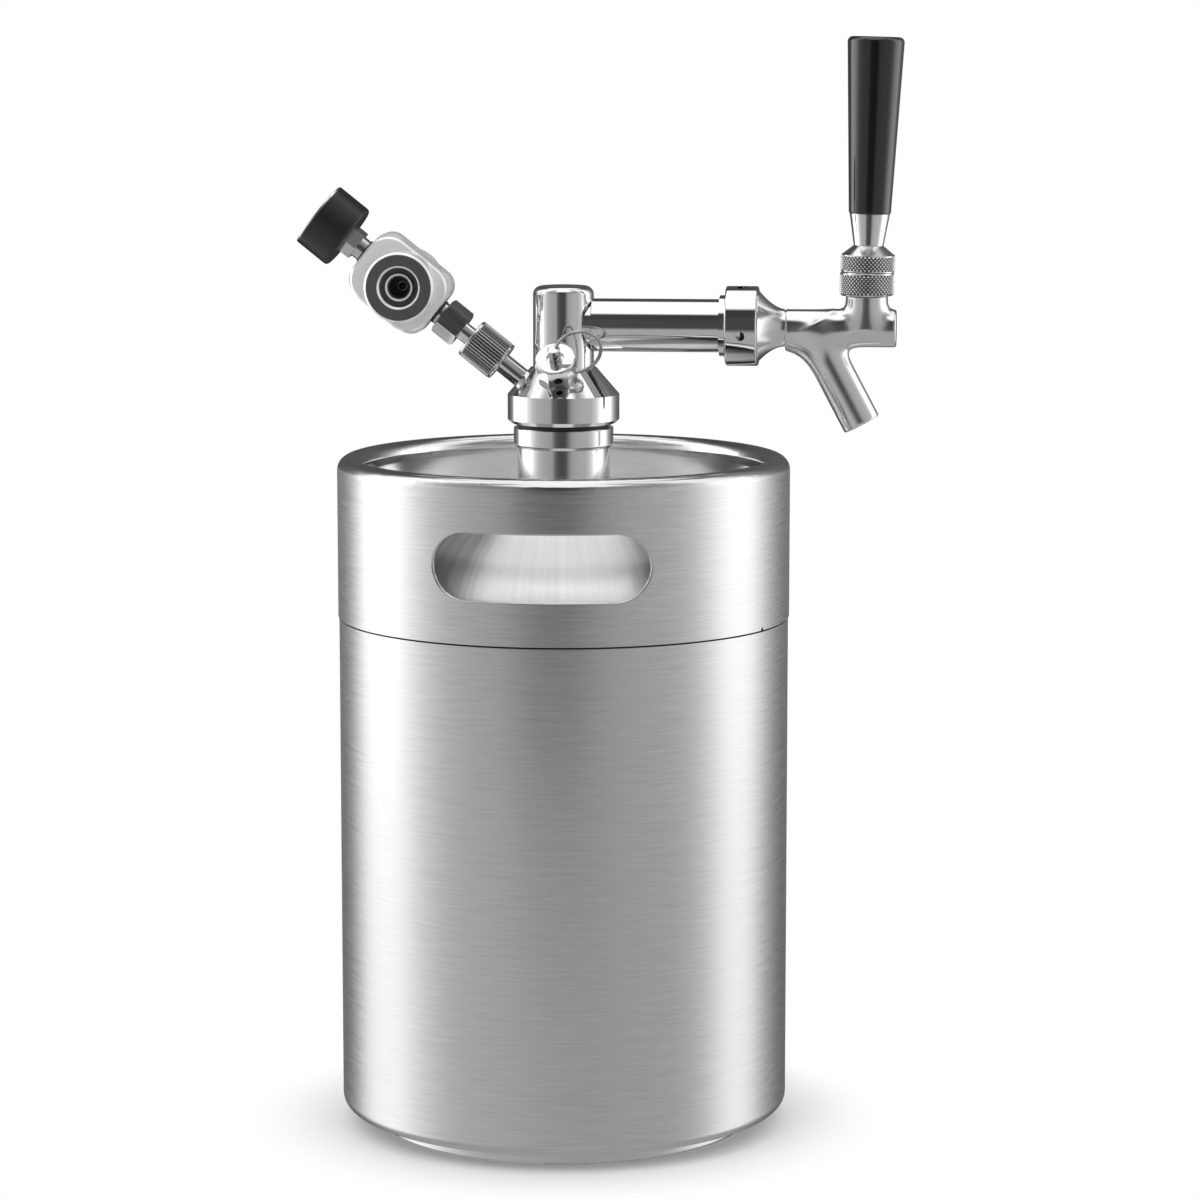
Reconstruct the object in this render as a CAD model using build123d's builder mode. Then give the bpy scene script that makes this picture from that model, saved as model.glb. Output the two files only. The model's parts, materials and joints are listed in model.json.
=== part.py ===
from build123d import *
from math import asin, cos, degrees, radians, sin, sqrt, tan
import os

# Mini keg beer dispenser, millimetres. +Z is up, the floor is z = 0, the keg's axis is the Z axis,
# the tap's arm points along +X and the hand slots face -Y and +Y.

# Fits
fit = 0.05  # radial gap of fixed parts and plain bearings
thread_gap = 0.1  # radial gap of a screwed joint, drawn plain
face_gap = 0.02  # gap between faces that are clamped together

# Keg shell
sheet = 1.0
body_r = 85.6
seam_z = 196.7  # where the handle ring meets the body
base_z = 6.0  # flat of the body's bottom
base_corner = 5.0
dish_r = body_r - 23.6
dish_rise = 9.0
dome_rise = 53.0
dome_skirt = 8.0
foot_r = body_r - 13.8
foot_flange = 5.0
foot_bead = 1.6  # radius of the rolled lower edge
foot_flat = 1.2  # width it stands on

# Handle ring
ring_r = body_r + 0.4  # a small step at the seam
ring_sheet = 1.1
ring_top = 257.5
rim_r = 5.0  # half-round of the rolled rim
rim_hang = 2.3  # straight edge of the rim inside the ring
slot_z = 225.2
slot_width = 81.0
slot_height = 26.4
slot_lip = 1.0
slot_lip_depth = 3.6
slot_round = 0.8
notch_turn = -25.0
notch_width = 2.3
notch_height = 1.4

# Neck
neck_r = 17.5
neck_bore = 15.2
neck_root = 4.5  # how far the neck reaches down through the dome
lip_r = 18.9
lip_height = 6.2
lip_top = ring_top + 10.9
gasket_r = 17.1
gasket_height = 1.6

# Cap
collar_r = 21.2
collar_bevel = 1.4
collar_top = lip_top + 12.5
cone_top = collar_top + 10.1
cone_top_r = 12.5
cap_thread_length = 13.5
gas_ring_r = 6.5  # bore round the dip tube that carries the gas
gas_ring_top = lip_top + 11.1
passage_r = 0.8

# Dip tube
dip_r = 3.2
dip_bore = 2.4
dip_bottom = 18.0
dip_top = lip_top + 16.0
dip_seal_z = dip_top - 2.4
seal_cord = 0.75

# Tower and arm
tower_r = 11.5
tower_top = cone_top + 30.8
tower_round = 3.2
tower_bore = 4.0
tower_spigot_r = 6.0
tower_spigot = 3.4
arm_z = cone_top + 16.1
arm_r = 10.0
arm_bore = 5.5
arm_neck_r = 8.6
arm_x = 11.0  # where the arm's full diameter starts
arm_spigot_r = 6.95
arm_spigot_x = 5.0
clip_x = 59.3
clip_length = 2.1
clip_r = arm_r + 1.5
arm_flange_r = arm_r + 2.6
arm_flange_length = 3.2

# Coupling nut
nut_thread_r = arm_flange_r + 0.4
nut_r = nut_thread_r + 2.0
nut_x = 61.6
nut_length = 12.3
nut_shoulder = 2.6
nut_bevel = 0.7
spanner_hole_r = 1.75
spanner_turn = -11.0
washer_height = 1.5

# Faucet
flare_x = 74.1
flare_r = 13.2
flare_curve = 1.75  # how hollow the flare is
flare_end = (83.6, 7.1)
groove = 0.4
faucet_r = 7.05
faucet_drop = 0.6  # the casting's axis lies this far below the bore's
nub_x = 125.7
nub_round = 0.5
bore_rear_r = 5.2
bore_front_r = 4.2
bore_step_x = 98.5
bore_end_x = 124.0
seat_r = 3.4
seat_x = 70.7
seat_length = 1.5
seat_recess_r = 5.9
spout_slope = 62.0
spout_r = 6.2
spout_bore = 4.6
spout_mouth = 20.0  # depth of the wider bore at the outlet
spout_passage_r = 4.2
spout_end = (113.98, arm_z - 36.2)
spout_width = 13.8  # across the end, from the front to the web's rear edge
web_half = 4.6
web_round = 3.4
web_arc_start = (96.5, arm_z - 19.2)
web_root = (83.9, arm_z - 7.8)
front_arc_r = 5.9

# Bonnet, ball lever and handle
stem_x = 114.5
stem_r = 7.9
stem_thread_r = 8.5
bonnet_z = arm_z + 11.8
bonnet_top = bonnet_z + 8.5
bonnet_r = 10.05
bonnet_edge = 0.6
ball_z = bonnet_z + 1.5
ball_r = 6.6
ball_seal_cord = 0.8
ball_seal_r = 5.6
lever_lean = 1.6
lever_swing = 24.0
lever_neck_r = 3.0
lever_arm_r = 2.0
lever_tip_r = 2.5
lever_stud_top = 25.0
swing_gap = 0.3
collar_rim_h = 13.7  # heights along the lever, from the ball's centre
collar_cone_h = 17.2
collar_cone_r = 5.6
ferrule_top_h = 29.3
ferrule_top_r = 7.6
handle_r = 7.9
handle_top_h = 94.8
handle_top_r = 10.7
handle_round = 1.8
handle_socket = 12.0
handle_stud_r = 4.0

# Faucet shaft
guide_x = 104.5
guide_end_x = 120.5
guide_r = 4.1
rod_r = 1.6
rod_x = 66.7
pocket_gap = 0.3
seat_washer_r = 4.8
seat_washer_height = 1.8
shaft_nut_height = 1.9
shaft_nut_across = 6.0

# Relief valve, heights along its axis from the cone's surface
relief_r = 13.7
relief_z = cone_top - 1.4
relief_slope = 45.0
relief_turn = 3.0
relief_stud_r = 3.5
relief_stud = 9.0
relief_across = 13.0  # hexagon
relief_hex_turn = 11.5
relief_foot_h = -1.5  # the spot face it is screwed down on
relief_top_h = 8.0
relief_spot_r = 7.8
relief_seat_r = 1.2
relief_seat_height = 1.5
relief_chamber_r = 2.6
relief_plug_h = 5.0
relief_plug_r = 3.2
relief_disc_r = 7.6
relief_disc_top = 9.2
relief_recess_r = 3.25
relief_recess = 1.0
relief_vent_r = 1.6
relief_vent_h = 3.3
stem_rod_r = 0.9
stem_post_r = 2.4
stem_post_top = 14.4
relief_seal_r = 2.3
relief_seal_height = 1.4
relief_lift = 2.0
pull_hole_h = 12.0
pull_hole_r = 1.1
pull_turn = 17.4
pull_droop = 14.0  # the ring rests on the cap's edge
pull_ring_r = 9.0
pull_wire_r = 0.75
relief_spring_r = 1.75
relief_wire_r = 0.35
relief_coils = 7

# Gas line, distances along its axis from the keg's axis
gas_z = lip_top + 5.5
gas_slope = 38.6
post_r = 3.85
post_bore = 2.0
post_s = 14.0
post_flange_s = 33.0
post_flange_r = 5.5
post_end_s = 36.0
swivel_r = 8.0
swivel_s = 29.8
swivel_end_s = 45.2
swivel_shoulder = 2.8
swivel_thread_r = 5.9
swivel_bevel = 0.9
gas_washer_height = 2.2
stem_tail_end_s = 44.0
stem_tube_r = 3.55
stem_bore = 1.5
hex_s = 49.2
hex_end_s = 58.9
hex_across = 13.0
stem_grip = 5.0
outlet_collar_r = 4.7
outlet_collar = 1.1
outlet_seal_r = 4.9

# Regulator
block_s = 61.0
block_end_s = 96.0
block_width = 27.6
block_drop = 0.4  # the port stands this far above the middle of the block
block_depth = 20.0
block_corner = 9.5
block_rear_corner = 6.5
block_step = 6.0  # depth of the rounder front stretch
block_back = 5.0  # the square plate ends here, behind the gas line
housing_r = 13.6  # the round housing behind the plate
block_edge = 0.8
boss_s = 77.0
boss_r = 13.2
boss_edge = 1.1
boss_depth = 10.0
counterbore_r = 7.45
counterbore_edge = 1.0
counterbore = 4.0
insert_r = 5.5
insert_bore = 4.25  # 3/8 inch cartridge thread
insert_front = 1.5  # set back from the boss's face
insert_length = 10.5
insert_undercut = 3.4  # wider stretch round the pin, below the thread
insert_undercut_r = 4.7
port_seal_height = 1.6
pin_r = 1.4
pin_point = 3.2
nipple_r = 3.9
nipple = 8.0
chamber_r = 8.0
chamber_depth = 5.0
diaphragm_r = 11.6
diaphragm_height = 1.0
bonnet_cup_r = 13.0
bonnet_cup_back_r = 10.2
bonnet_cup_bore = 9.0
bonnet_cup = 14.0
bonnet_cup_end = 2.0
button_r = 5.0
button_height = 1.0
plate_height = 2.0
plate_travel = 2.0
circlip_height = 0.6
adjust_spring_r = 6.0
adjust_wire_r = 0.8
adjust_coils = 2.5
screw_r = 2.0
spindle_r = 3.0
knob_r = 8.2
knob_height = 10.0
knob_flutes = 14
knob_flute_r = 0.9

# Gauge
gauge_stem_r = 3.6
gauge_stem = 9.0
gauge_seal_height = 1.0
gauge_neck_r = 4.35
gauge_hex_s = 100.0
gauge_hex_across = 10.6
gauge_hex_turn = 23.0
gauge_case_s = 104.7
gauge_case_end_s = 118.6
gauge_case_r = 13.2
gauge_wall = 0.8
gauge_back_round = 1.2
gauge_post_r = 3.0
gauge_post = 4.3
tube_foot = (3.0, 9.7)  # width and reach of the foot that the tube is soldered to
bezel_end_s = 119.4
bezel_opening = 11.7
bezel_depth = 0.45
lens_height = 0.9
dial_s = 114.2
dial_height = 0.5
needle_s = 115.2
needle_height = 0.35
needle_length = 9.0
needle_tail = 3.0
needle_width = 0.9
needle_hub_r = 1.3
needle_shaft_r = 0.5
needle_rest_turn = 135.0
tube_s = 110.5
tube_major_r = 8.6
tube_cord = 1.1
tube_arc = 250.0

os.makedirs("parts", exist_ok=True)


def save(builder, label):
    """Name a finished piece and write it to its own STEP file."""
    builder.part.label = label
    export_step(builder.part, f"parts/{label}.step")


def turned(plane, *outline):
    """Revolve a closed (radius, height) outline round the plane's own y direction."""
    with BuildPart() as piece:
        with BuildSketch(plane):
            with BuildLine():
                Polyline(*outline, close=True)
            make_face()
        revolve(axis=Axis(plane.origin, plane.y_dir))
    return piece


def sleeve(plane, inner, outer, low, high):
    """A plain ring or washer."""
    return turned(plane, (inner, low), (outer, low), (outer, high), (inner, high))


def across(plane, height):
    """The plane square to the axis of a turned profile's plane, at a height along it."""
    return Plane(origin=plane.origin + plane.y_dir * height, x_dir=plane.x_dir, z_dir=plane.y_dir)


def seal_ring(plane, height, major, cord):
    """An O-ring."""
    with BuildPart() as ring:
        with BuildSketch(plane):
            with Locations((major, height)):
                Circle(cord)
        revolve(axis=Axis(plane.origin, plane.y_dir))
    return ring


def coil_spring(plane, radius, wire, low, high, coils):
    """An open coil of round wire between two heights."""
    length = high - low - 2 * wire
    base = plane.origin + plane.y_dir * (low + wire)
    with BuildPart() as spring:
        with BuildLine():
            coil = Helix(length / coils, length, radius, center=base, direction=plane.y_dir)
        with BuildSketch(Plane(origin=coil @ 0, z_dir=coil % 0)):
            Circle(wire)
        sweep(path=coil, is_frenet=True)
    return spring


# Profile planes: local x is the radius, local y runs along the axis.
upright = Plane.XZ
arm_line = Plane(origin=(0, 0, arm_z), x_dir=(0, 0, 1), z_dir=(0, 1, 0))
gas_dir = Vector(-cos(radians(gas_slope)), 0, sin(radians(gas_slope)))
gas_side = Vector(sin(radians(gas_slope)), 0, cos(radians(gas_slope)))
gas_line = Plane(origin=(0, 0, gas_z), x_dir=gas_side, z_dir=(0, -1, 0))
port_centre = Vector(0, 0, gas_z) + gas_dir * boss_s
port_line = Plane(origin=port_centre, x_dir=gas_side, z_dir=gas_dir * -1)  # y runs to the front
relief_out = Vector(-sin(radians(relief_turn)), -cos(radians(relief_turn)), 0)
relief_dir = relief_out * cos(radians(relief_slope)) + Vector(0, 0, sin(radians(relief_slope)))
relief_side = Vector(cos(radians(relief_turn)), -sin(radians(relief_turn)), 0)
relief_line = Plane(
    origin=relief_out * relief_r + Vector(0, 0, relief_z),
    x_dir=relief_side,
    z_dir=relief_side.cross(relief_dir),  # forward and down
)
hex_turn = radians(relief_hex_turn)
vent_dir = relief_line.z_dir * cos(hex_turn) + relief_side * sin(hex_turn)
ball_centre = Vector(stem_x, 0, ball_z)
stem_line = Plane(origin=ball_centre, x_dir=(1, 0, 0), z_dir=(0, -1, 0))
lean = radians(lever_lean)
lever_line = Plane(origin=ball_centre, x_dir=(cos(lean), 0, -sin(lean)), z_dir=(0, -1, 0))
faucet_z = arm_z - faucet_drop
spout_dir = Vector(cos(radians(spout_slope)), 0, -sin(radians(spout_slope)))
spout_across = Vector(sin(radians(spout_slope)), 0, cos(radians(spout_slope)))
spout_tip = Vector(spout_end[0], 0, spout_end[1])


# Keg shell, one welded body -----------------------------------------------------------------

with BuildPart() as keg_body:
    with BuildSketch(upright):
        with BuildLine():
            dish_top = base_z + dish_rise
            TangentArc((0, dish_top), (dish_r, base_z), tangent=(1, 0))
            Line((dish_r, base_z), (body_r - base_corner, base_z))
            TangentArc((body_r - base_corner, base_z), (body_r, base_z + base_corner), tangent=(1, 0))
            Line((body_r, base_z + base_corner), (body_r, seam_z - sheet / 2))
            Line((body_r, seam_z - sheet / 2), (body_r - sheet / 2, seam_z))
            Line((body_r - sheet / 2, seam_z), (body_r - sheet, seam_z))
            Line((body_r - sheet, seam_z), (body_r - sheet, base_z + base_corner))
            TangentArc(
                (body_r - sheet, base_z + base_corner),
                (body_r - base_corner, base_z + sheet),
                tangent=(0, -1),
            )
            Line((body_r - base_corner, base_z + sheet), (dish_r, base_z + sheet))
            TangentArc((0, dish_top + sheet), (dish_r, base_z + sheet), tangent=(1, 0))
            Line((0, dish_top), (0, dish_top + sheet))
        make_face()
    revolve(axis=Axis.Z)
save(keg_body, "keg_body")

with BuildPart() as foot_ring:
    with BuildSketch(upright):
        with Locations((foot_r - sheet / 2, base_z / 2 + foot_bead / 2)):
            Rectangle(sheet, base_z - foot_bead)
        with Locations((foot_r - foot_flange / 2, base_z - sheet / 2)):
            Rectangle(foot_flange, sheet)
        with Locations((foot_r - foot_bead, foot_bead)):
            RectangleRounded(2 * foot_bead, 2 * foot_bead, foot_bead - foot_flat / 2)
    revolve(axis=Axis.Z)
save(foot_ring, "foot_ring")

dome_r = body_r - sheet - fit
neck_hole = neck_r + fit
dome_inner = dome_r - sheet
dome_inner_rise = dome_rise - sheet


def dome_height(radius):
    """Height of the dome's outer face at a radius."""
    return seam_z + dome_rise * sqrt(1 - (radius / dome_r) ** 2)


with BuildPart() as keg_dome:
    with BuildSketch(upright):
        with BuildLine():
            outer_end = degrees(asin((dome_height(neck_hole) - seam_z) / dome_rise))
            inner_rise = sqrt(1 - (neck_hole / dome_inner) ** 2)
            inner_end = degrees(asin(inner_rise))
            inner_top = seam_z + dome_inner_rise * inner_rise
            EllipticalCenterArc((0, seam_z), dome_r, dome_rise, 0, arc_size=outer_end)
            EllipticalCenterArc((0, seam_z), dome_inner, dome_inner_rise, 0, arc_size=inner_end)
            Line((neck_hole, dome_height(neck_hole)), (neck_hole, inner_top))
            Polyline(
                (dome_r, seam_z),
                (dome_r, seam_z - dome_skirt),
                (dome_inner, seam_z - dome_skirt),
                (dome_inner, seam_z),
            )
        make_face()
    revolve(axis=Axis.Z)
save(keg_dome, "keg_dome")

neck_bottom = dome_height(neck_r) - neck_root
lip_z = lip_top - lip_height
with BuildPart() as keg_neck:
    with BuildSketch(upright):
        with BuildLine():
            Polyline(
                (neck_r, lip_z - (lip_r - neck_r)),
                (neck_r, neck_bottom),
                (neck_bore, neck_bottom),
                (neck_bore, lip_top),
                (lip_r - 0.3, lip_top),
                (lip_r, lip_top - 0.3),
                (lip_r, lip_z),
            )
            TangentArc((lip_r, lip_z), (neck_r, lip_z - (lip_r - neck_r)), tangent=(0, -1))
        make_face()
    revolve(axis=Axis.Z)
save(keg_neck, "keg_neck")

# The slots' turned-in edges: the slot's own outline, as deep as the lip.
with BuildPart() as slot_lips:
    with BuildSketch(Plane.XZ):
        with Locations((0, slot_z)):
            SlotOverall(slot_width, slot_height)
            SlotOverall(slot_width - 2 * slot_lip, slot_height - 2 * slot_lip, mode=Mode.SUBTRACT)
    extrude(amount=ring_r, both=True)
    with BuildSketch(Plane.XY):
        Circle(ring_r)
        Circle(ring_r - slot_lip_depth, mode=Mode.SUBTRACT)
    extrude(amount=ring_top, mode=Mode.INTERSECT)

rim_centre = (ring_r - rim_r, ring_top - rim_r)
with BuildPart() as handle_ring:
    with BuildSketch(upright):
        with BuildLine():
            inner = ring_r - ring_sheet
            rim_inner = ring_r - 2 * rim_r
            rim_bottom = rim_centre[1] - rim_hang
            Line((inner, seam_z), (ring_r, seam_z))
            Line((ring_r, seam_z), (ring_r, rim_centre[1]))
            CenterArc(rim_centre, rim_r, 0, 180)
            Polyline(
                (rim_inner, rim_centre[1]),
                (rim_inner, rim_bottom),
                (rim_inner + ring_sheet, rim_bottom),
                (rim_inner + ring_sheet, rim_centre[1]),
            )
            CenterArc(rim_centre, rim_r - ring_sheet, 0, 180)
            Line((inner, rim_centre[1]), (inner, seam_z))
        make_face()
    revolve(axis=Axis.Z)
    with BuildSketch(Plane.XZ):
        with Locations((0, slot_z)):
            SlotOverall(slot_width, slot_height)
    extrude(amount=ring_r + sheet, both=True, mode=Mode.SUBTRACT)
    add(slot_lips.part)
    notch_plane = Plane(
        origin=(0, 0, seam_z),
        x_dir=(-sin(radians(notch_turn)), cos(radians(notch_turn)), 0),
        z_dir=(cos(radians(notch_turn)), sin(radians(notch_turn)), 0),
    )
    with BuildSketch(notch_plane.offset(ring_r - 2 * ring_sheet)):
        with BuildLine():
            Polyline((-notch_width / 2, 0), (notch_width / 2, 0), (0, notch_height), close=True)
        make_face()
    extrude(amount=3 * ring_sheet, mode=Mode.SUBTRACT)
    slot_reach = slot_height / 2 - slot_lip / 2
    slot_edges = handle_ring.edges().filter_by(
        lambda edge: abs(edge.center().Z - slot_z) < slot_reach
        and all(abs(sqrt((edge @ t).X ** 2 + (edge @ t).Y ** 2) - ring_r) < 0.01 for t in (0, 0.5, 1))
    )
    fillet(slot_edges, slot_round)
save(handle_ring, "handle_ring")

cap_gasket = sleeve(upright, neck_bore + fit, gasket_r, lip_top, lip_top + gasket_height)
save(cap_gasket, "cap_gasket")

# Cap, tower and arm -------------------------------------------------------------------------

cap_z = lip_top + gasket_height
cap_thread_r = neck_bore - thread_gap
spigot_z = cone_top - tower_spigot
with BuildPart() as head_cap:
    with BuildSketch(upright):
        with BuildLine():
            Polyline(
                (gas_ring_r, cap_z - cap_thread_length),
                (cap_thread_r - 1, cap_z - cap_thread_length),
                (cap_thread_r, cap_z - cap_thread_length + 1),
                (cap_thread_r, cap_z),
                (collar_r - collar_bevel, cap_z),
                (collar_r, cap_z + collar_bevel),
                (collar_r, collar_top),
                (cone_top_r, cone_top),
                (tower_spigot_r + fit, cone_top),
                (tower_spigot_r + fit, spigot_z),
                (dip_bore, spigot_z),
                (dip_bore, dip_top),
                (dip_r + fit, dip_top),
                (dip_r + fit, gas_ring_top),
                (gas_ring_r, gas_ring_top),
                close=True,
            )
        make_face()
        groove_r = dip_r + 2 * seal_cord + fit
        with Locations(((dip_r + groove_r) / 2, dip_seal_z)):
            Rectangle(groove_r - dip_r, 2 * (seal_cord + fit), mode=Mode.SUBTRACT)
    revolve(axis=Axis.Z)
    with BuildSketch(across(gas_line, post_s)):
        Circle(post_r + fit)
    extrude(amount=collar_r, mode=Mode.SUBTRACT)
    with BuildSketch(across(gas_line, gas_ring_r)):
        Circle(passage_r)
    extrude(amount=post_s, mode=Mode.SUBTRACT)
    with BuildSketch(across(relief_line, -relief_stud)):
        Circle(relief_stud_r + thread_gap)
    extrude(amount=2 * relief_stud, mode=Mode.SUBTRACT)
    with BuildSketch(across(relief_line, relief_foot_h)):
        Circle(relief_spot_r)
    extrude(amount=relief_stud, mode=Mode.SUBTRACT)
    gas_well_top = (relief_line.origin - relief_dir * relief_stud).Z
    gas_well_y = -(dip_r + seal_cord * 2 + gas_ring_r) / 2
    with BuildSketch(Plane.XY.offset(gas_ring_top - sheet)):
        with Locations((0, gas_well_y)):
            Circle(passage_r)
    extrude(amount=gas_well_top - gas_ring_top + 2 * sheet, mode=Mode.SUBTRACT)
save(head_cap, "head_cap")

dip_tube = sleeve(upright, dip_bore, dip_r, dip_bottom, dip_top - face_gap)
save(dip_tube, "dip_tube")
dip_tube_seal = seal_ring(upright, dip_seal_z, dip_r + seal_cord + fit / 2, seal_cord - fit / 2)
save(dip_tube_seal, "dip_tube_seal")

with BuildPart() as tap_tower:
    with BuildSketch(upright):
        with BuildLine():
            Line((tower_bore, spigot_z + face_gap), (tower_spigot_r, spigot_z + face_gap))
            Line((tower_spigot_r, spigot_z + face_gap), (tower_spigot_r, cone_top))
            Line((tower_spigot_r, cone_top), (tower_r, cone_top))
            Line((tower_r, cone_top), (tower_r, tower_top - tower_round))
            TangentArc(
                (tower_r, tower_top - tower_round), (tower_r - tower_round, tower_top), tangent=(0, 1)
            )
            Line((tower_r - tower_round, tower_top), (0, tower_top))
            Line((0, tower_top), (0, arm_z + tower_bore))
            Line((0, arm_z + tower_bore), (tower_bore, arm_z + tower_bore))
            Line((tower_bore, arm_z + tower_bore), (tower_bore, spigot_z + face_gap))
        make_face()
    revolve(axis=Axis.Z)
    with BuildSketch(across(arm_line, arm_spigot_x)):
        Circle(arm_spigot_r + fit)
    extrude(amount=tower_r, mode=Mode.SUBTRACT)
    with BuildSketch(across(arm_line, 0)):
        Circle(tower_bore)
    extrude(amount=tower_r, mode=Mode.SUBTRACT)
    with BuildSketch(across(relief_line, relief_foot_h)):
        Circle(relief_spot_r)
    extrude(amount=2 * relief_spot_r, mode=Mode.SUBTRACT)
save(tap_tower, "tap_tower")

arm_flange_x = nut_x + nut_shoulder + 0.2
arm_end_x = arm_flange_x + arm_flange_length
with BuildPart() as tap_arm:
    with BuildSketch(arm_line):
        with BuildLine():
            Polyline(
                (arm_bore, 0),
                (arm_neck_r, 0),
                (arm_neck_r, arm_x),
                (arm_r - 0.3, arm_x),
                (arm_r, arm_x + 0.3),
                (arm_r, arm_flange_x),
                (arm_flange_r, arm_flange_x),
                (arm_flange_r, arm_end_x),
                (arm_bore, arm_end_x),
                close=True,
            )
        make_face()
    revolve(axis=Axis(arm_line.origin, arm_line.y_dir))
    with BuildSketch(Plane.XY.offset(arm_z - 2 * arm_r)):
        Circle(tower_r + fit)
    extrude(amount=4 * arm_r, mode=Mode.SUBTRACT)
    with BuildSketch(across(arm_line, arm_spigot_x + face_gap)):
        Circle(arm_spigot_r)
        Circle(arm_bore, mode=Mode.SUBTRACT)
    extrude(amount=tower_r)
save(tap_arm, "tap_arm")

arm_clip = sleeve(arm_line, arm_r + fit, clip_r, clip_x, clip_x + clip_length)
save(arm_clip, "arm_clip")

nut_end_x = nut_x + nut_length
with BuildPart() as coupling_nut:
    with BuildSketch(arm_line):
        with BuildLine():
            Polyline(
                (arm_r + thread_gap, nut_x),
                (nut_r - nut_bevel, nut_x),
                (nut_r, nut_x + nut_bevel),
                (nut_r, nut_end_x - nut_bevel),
                (nut_r - nut_bevel, nut_end_x),
                (nut_thread_r, nut_end_x),
                (nut_thread_r, nut_x + nut_shoulder),
                (arm_r + thread_gap, nut_x + nut_shoulder),
                close=True,
            )
        make_face()
    revolve(axis=Axis(arm_line.origin, arm_line.y_dir))
    for quarter in range(4):
        turn = radians(spanner_turn + 90 * quarter)
        hole_dir = Vector(0, -cos(turn), sin(turn))
        hole_root = Vector((nut_x + nut_end_x) / 2, 0, arm_z) + hole_dir * arm_flange_r
        with BuildSketch(Plane(origin=hole_root, x_dir=(1, 0, 0), z_dir=hole_dir)):
            Circle(spanner_hole_r)
        extrude(amount=nut_r, mode=Mode.SUBTRACT)
save(coupling_nut, "coupling_nut")

washer_x = arm_end_x + face_gap
faucet_x = washer_x + washer_height + face_gap
coupling_washer = sleeve(
    arm_line, seat_recess_r + fit, arm_flange_r - fit, washer_x, washer_x + washer_height
)
save(coupling_washer, "coupling_washer")

# Faucet -------------------------------------------------------------------------------------

web_rear = spout_tip + spout_across * (spout_r - spout_width)
flare_sections = [(flare_x, flare_r, 0)]
for part_way in (0.25, 0.5, 0.75, 1):
    reach = (flare_end[0] - flare_x) * part_way
    still = 1 - part_way
    flare_sections.append(
        (flare_x + reach, flare_end[1] + (flare_r - flare_end[1]) * still**flare_curve, faucet_drop * part_way)
    )
with BuildPart() as faucet_body:
    with BuildSketch(arm_line):
        with BuildLine():
            thread_r = nut_thread_r - thread_gap
            Polyline(
                (0, faucet_x), (thread_r, faucet_x), (thread_r, flare_x), (0, flare_x), close=True
            )
        make_face()
    revolve(axis=Axis(arm_line.origin, arm_line.y_dir))
    # The flare runs from the nut's axis down to the casting's own, a little lower
    for distance, radius, drop in flare_sections:
        section = Plane(origin=(distance, 0, arm_z - drop), x_dir=(0, 1, 0), z_dir=(1, 0, 0))
        with BuildSketch(section):
            Circle(radius)
    loft()
    with BuildSketch(Plane(origin=(flare_end[0], 0, faucet_z), x_dir=(0, 1, 0), z_dir=(1, 0, 0))):
        Circle(flare_end[1] - groove)
    extrude(amount=groove)
    with BuildSketch(Plane(origin=(flare_end[0] + groove, 0, faucet_z), x_dir=(0, 1, 0), z_dir=(1, 0, 0))):
        Circle(faucet_r)
    extrude(amount=nub_x - flare_end[0] - groove)
    fillet(faucet_body.faces().sort_by(Axis.X)[-1].edges(), nub_round)
    with BuildSketch(Plane.XY.offset(faucet_z)):
        with Locations((stem_x, 0)):
            Circle(stem_r)
    extrude(amount=bonnet_z + 0.2 - faucet_z)
    with BuildSketch(Plane.XY.offset(bonnet_z)):
        with Locations((stem_x, 0)):
            Circle(stem_thread_r)
    extrude(amount=bonnet_top - 3 - bonnet_z)
    spout_root = spout_tip - spout_dir * ((faucet_z - spout_end[1]) / -spout_dir.Z)
    with BuildSketch(Plane(origin=spout_root, x_dir=spout_across, z_dir=spout_dir)):
        Circle(spout_r)
    extrude(amount=(spout_tip - spout_root).length)

front_line_x = spout_tip.X + spout_across.X * spout_r
front_line_z = spout_tip.Z + spout_across.Z * spout_r
nub_bottom = faucet_z - faucet_r
slope = radians(spout_slope)
# The front arc touches the spout's front line and the nub's underside.
arc_centre_z = nub_bottom - front_arc_r
arc_drop = arc_centre_z - front_arc_r * cos(slope)
arc_touch_x = front_line_x - (arc_drop - front_line_z) / tan(slope)
arc_centre_x = arc_touch_x + front_arc_r * sin(slope)
with BuildPart() as faucet_web:
    with BuildSketch(Plane.XZ):
        with BuildLine():
            TangentArc(
                web_arc_start,
                web_root,
                tangent=(-spout_dir.X, -spout_dir.Z),
            )
            Line(web_arc_start, (web_rear.X, web_rear.Z))
            Line((web_rear.X, web_rear.Z), (front_line_x, front_line_z))
            Line((front_line_x, front_line_z), (arc_touch_x, arc_drop))
            TangentArc(
                (arc_touch_x, arc_drop),
                (arc_centre_x, nub_bottom),
                tangent=(-spout_dir.X, -spout_dir.Z),
            )
            Polyline(
                (arc_centre_x, nub_bottom),
                (arc_centre_x + 1, nub_bottom + faucet_r / 2),
                (web_root[0], nub_bottom + faucet_r / 2),
                web_root,
            )
        make_face()
    extrude(amount=web_half, both=True)
    rounded = faucet_web.edges().filter_by(
        lambda edge: abs(abs(edge.center().Y) - web_half) < 0.01
        and edge.center().Z < nub_bottom - 0.01
        and abs(edge.center().Z - (web_rear.Z + front_line_z) / 2) > 2
    )
    fillet(rounded, web_round)

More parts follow.
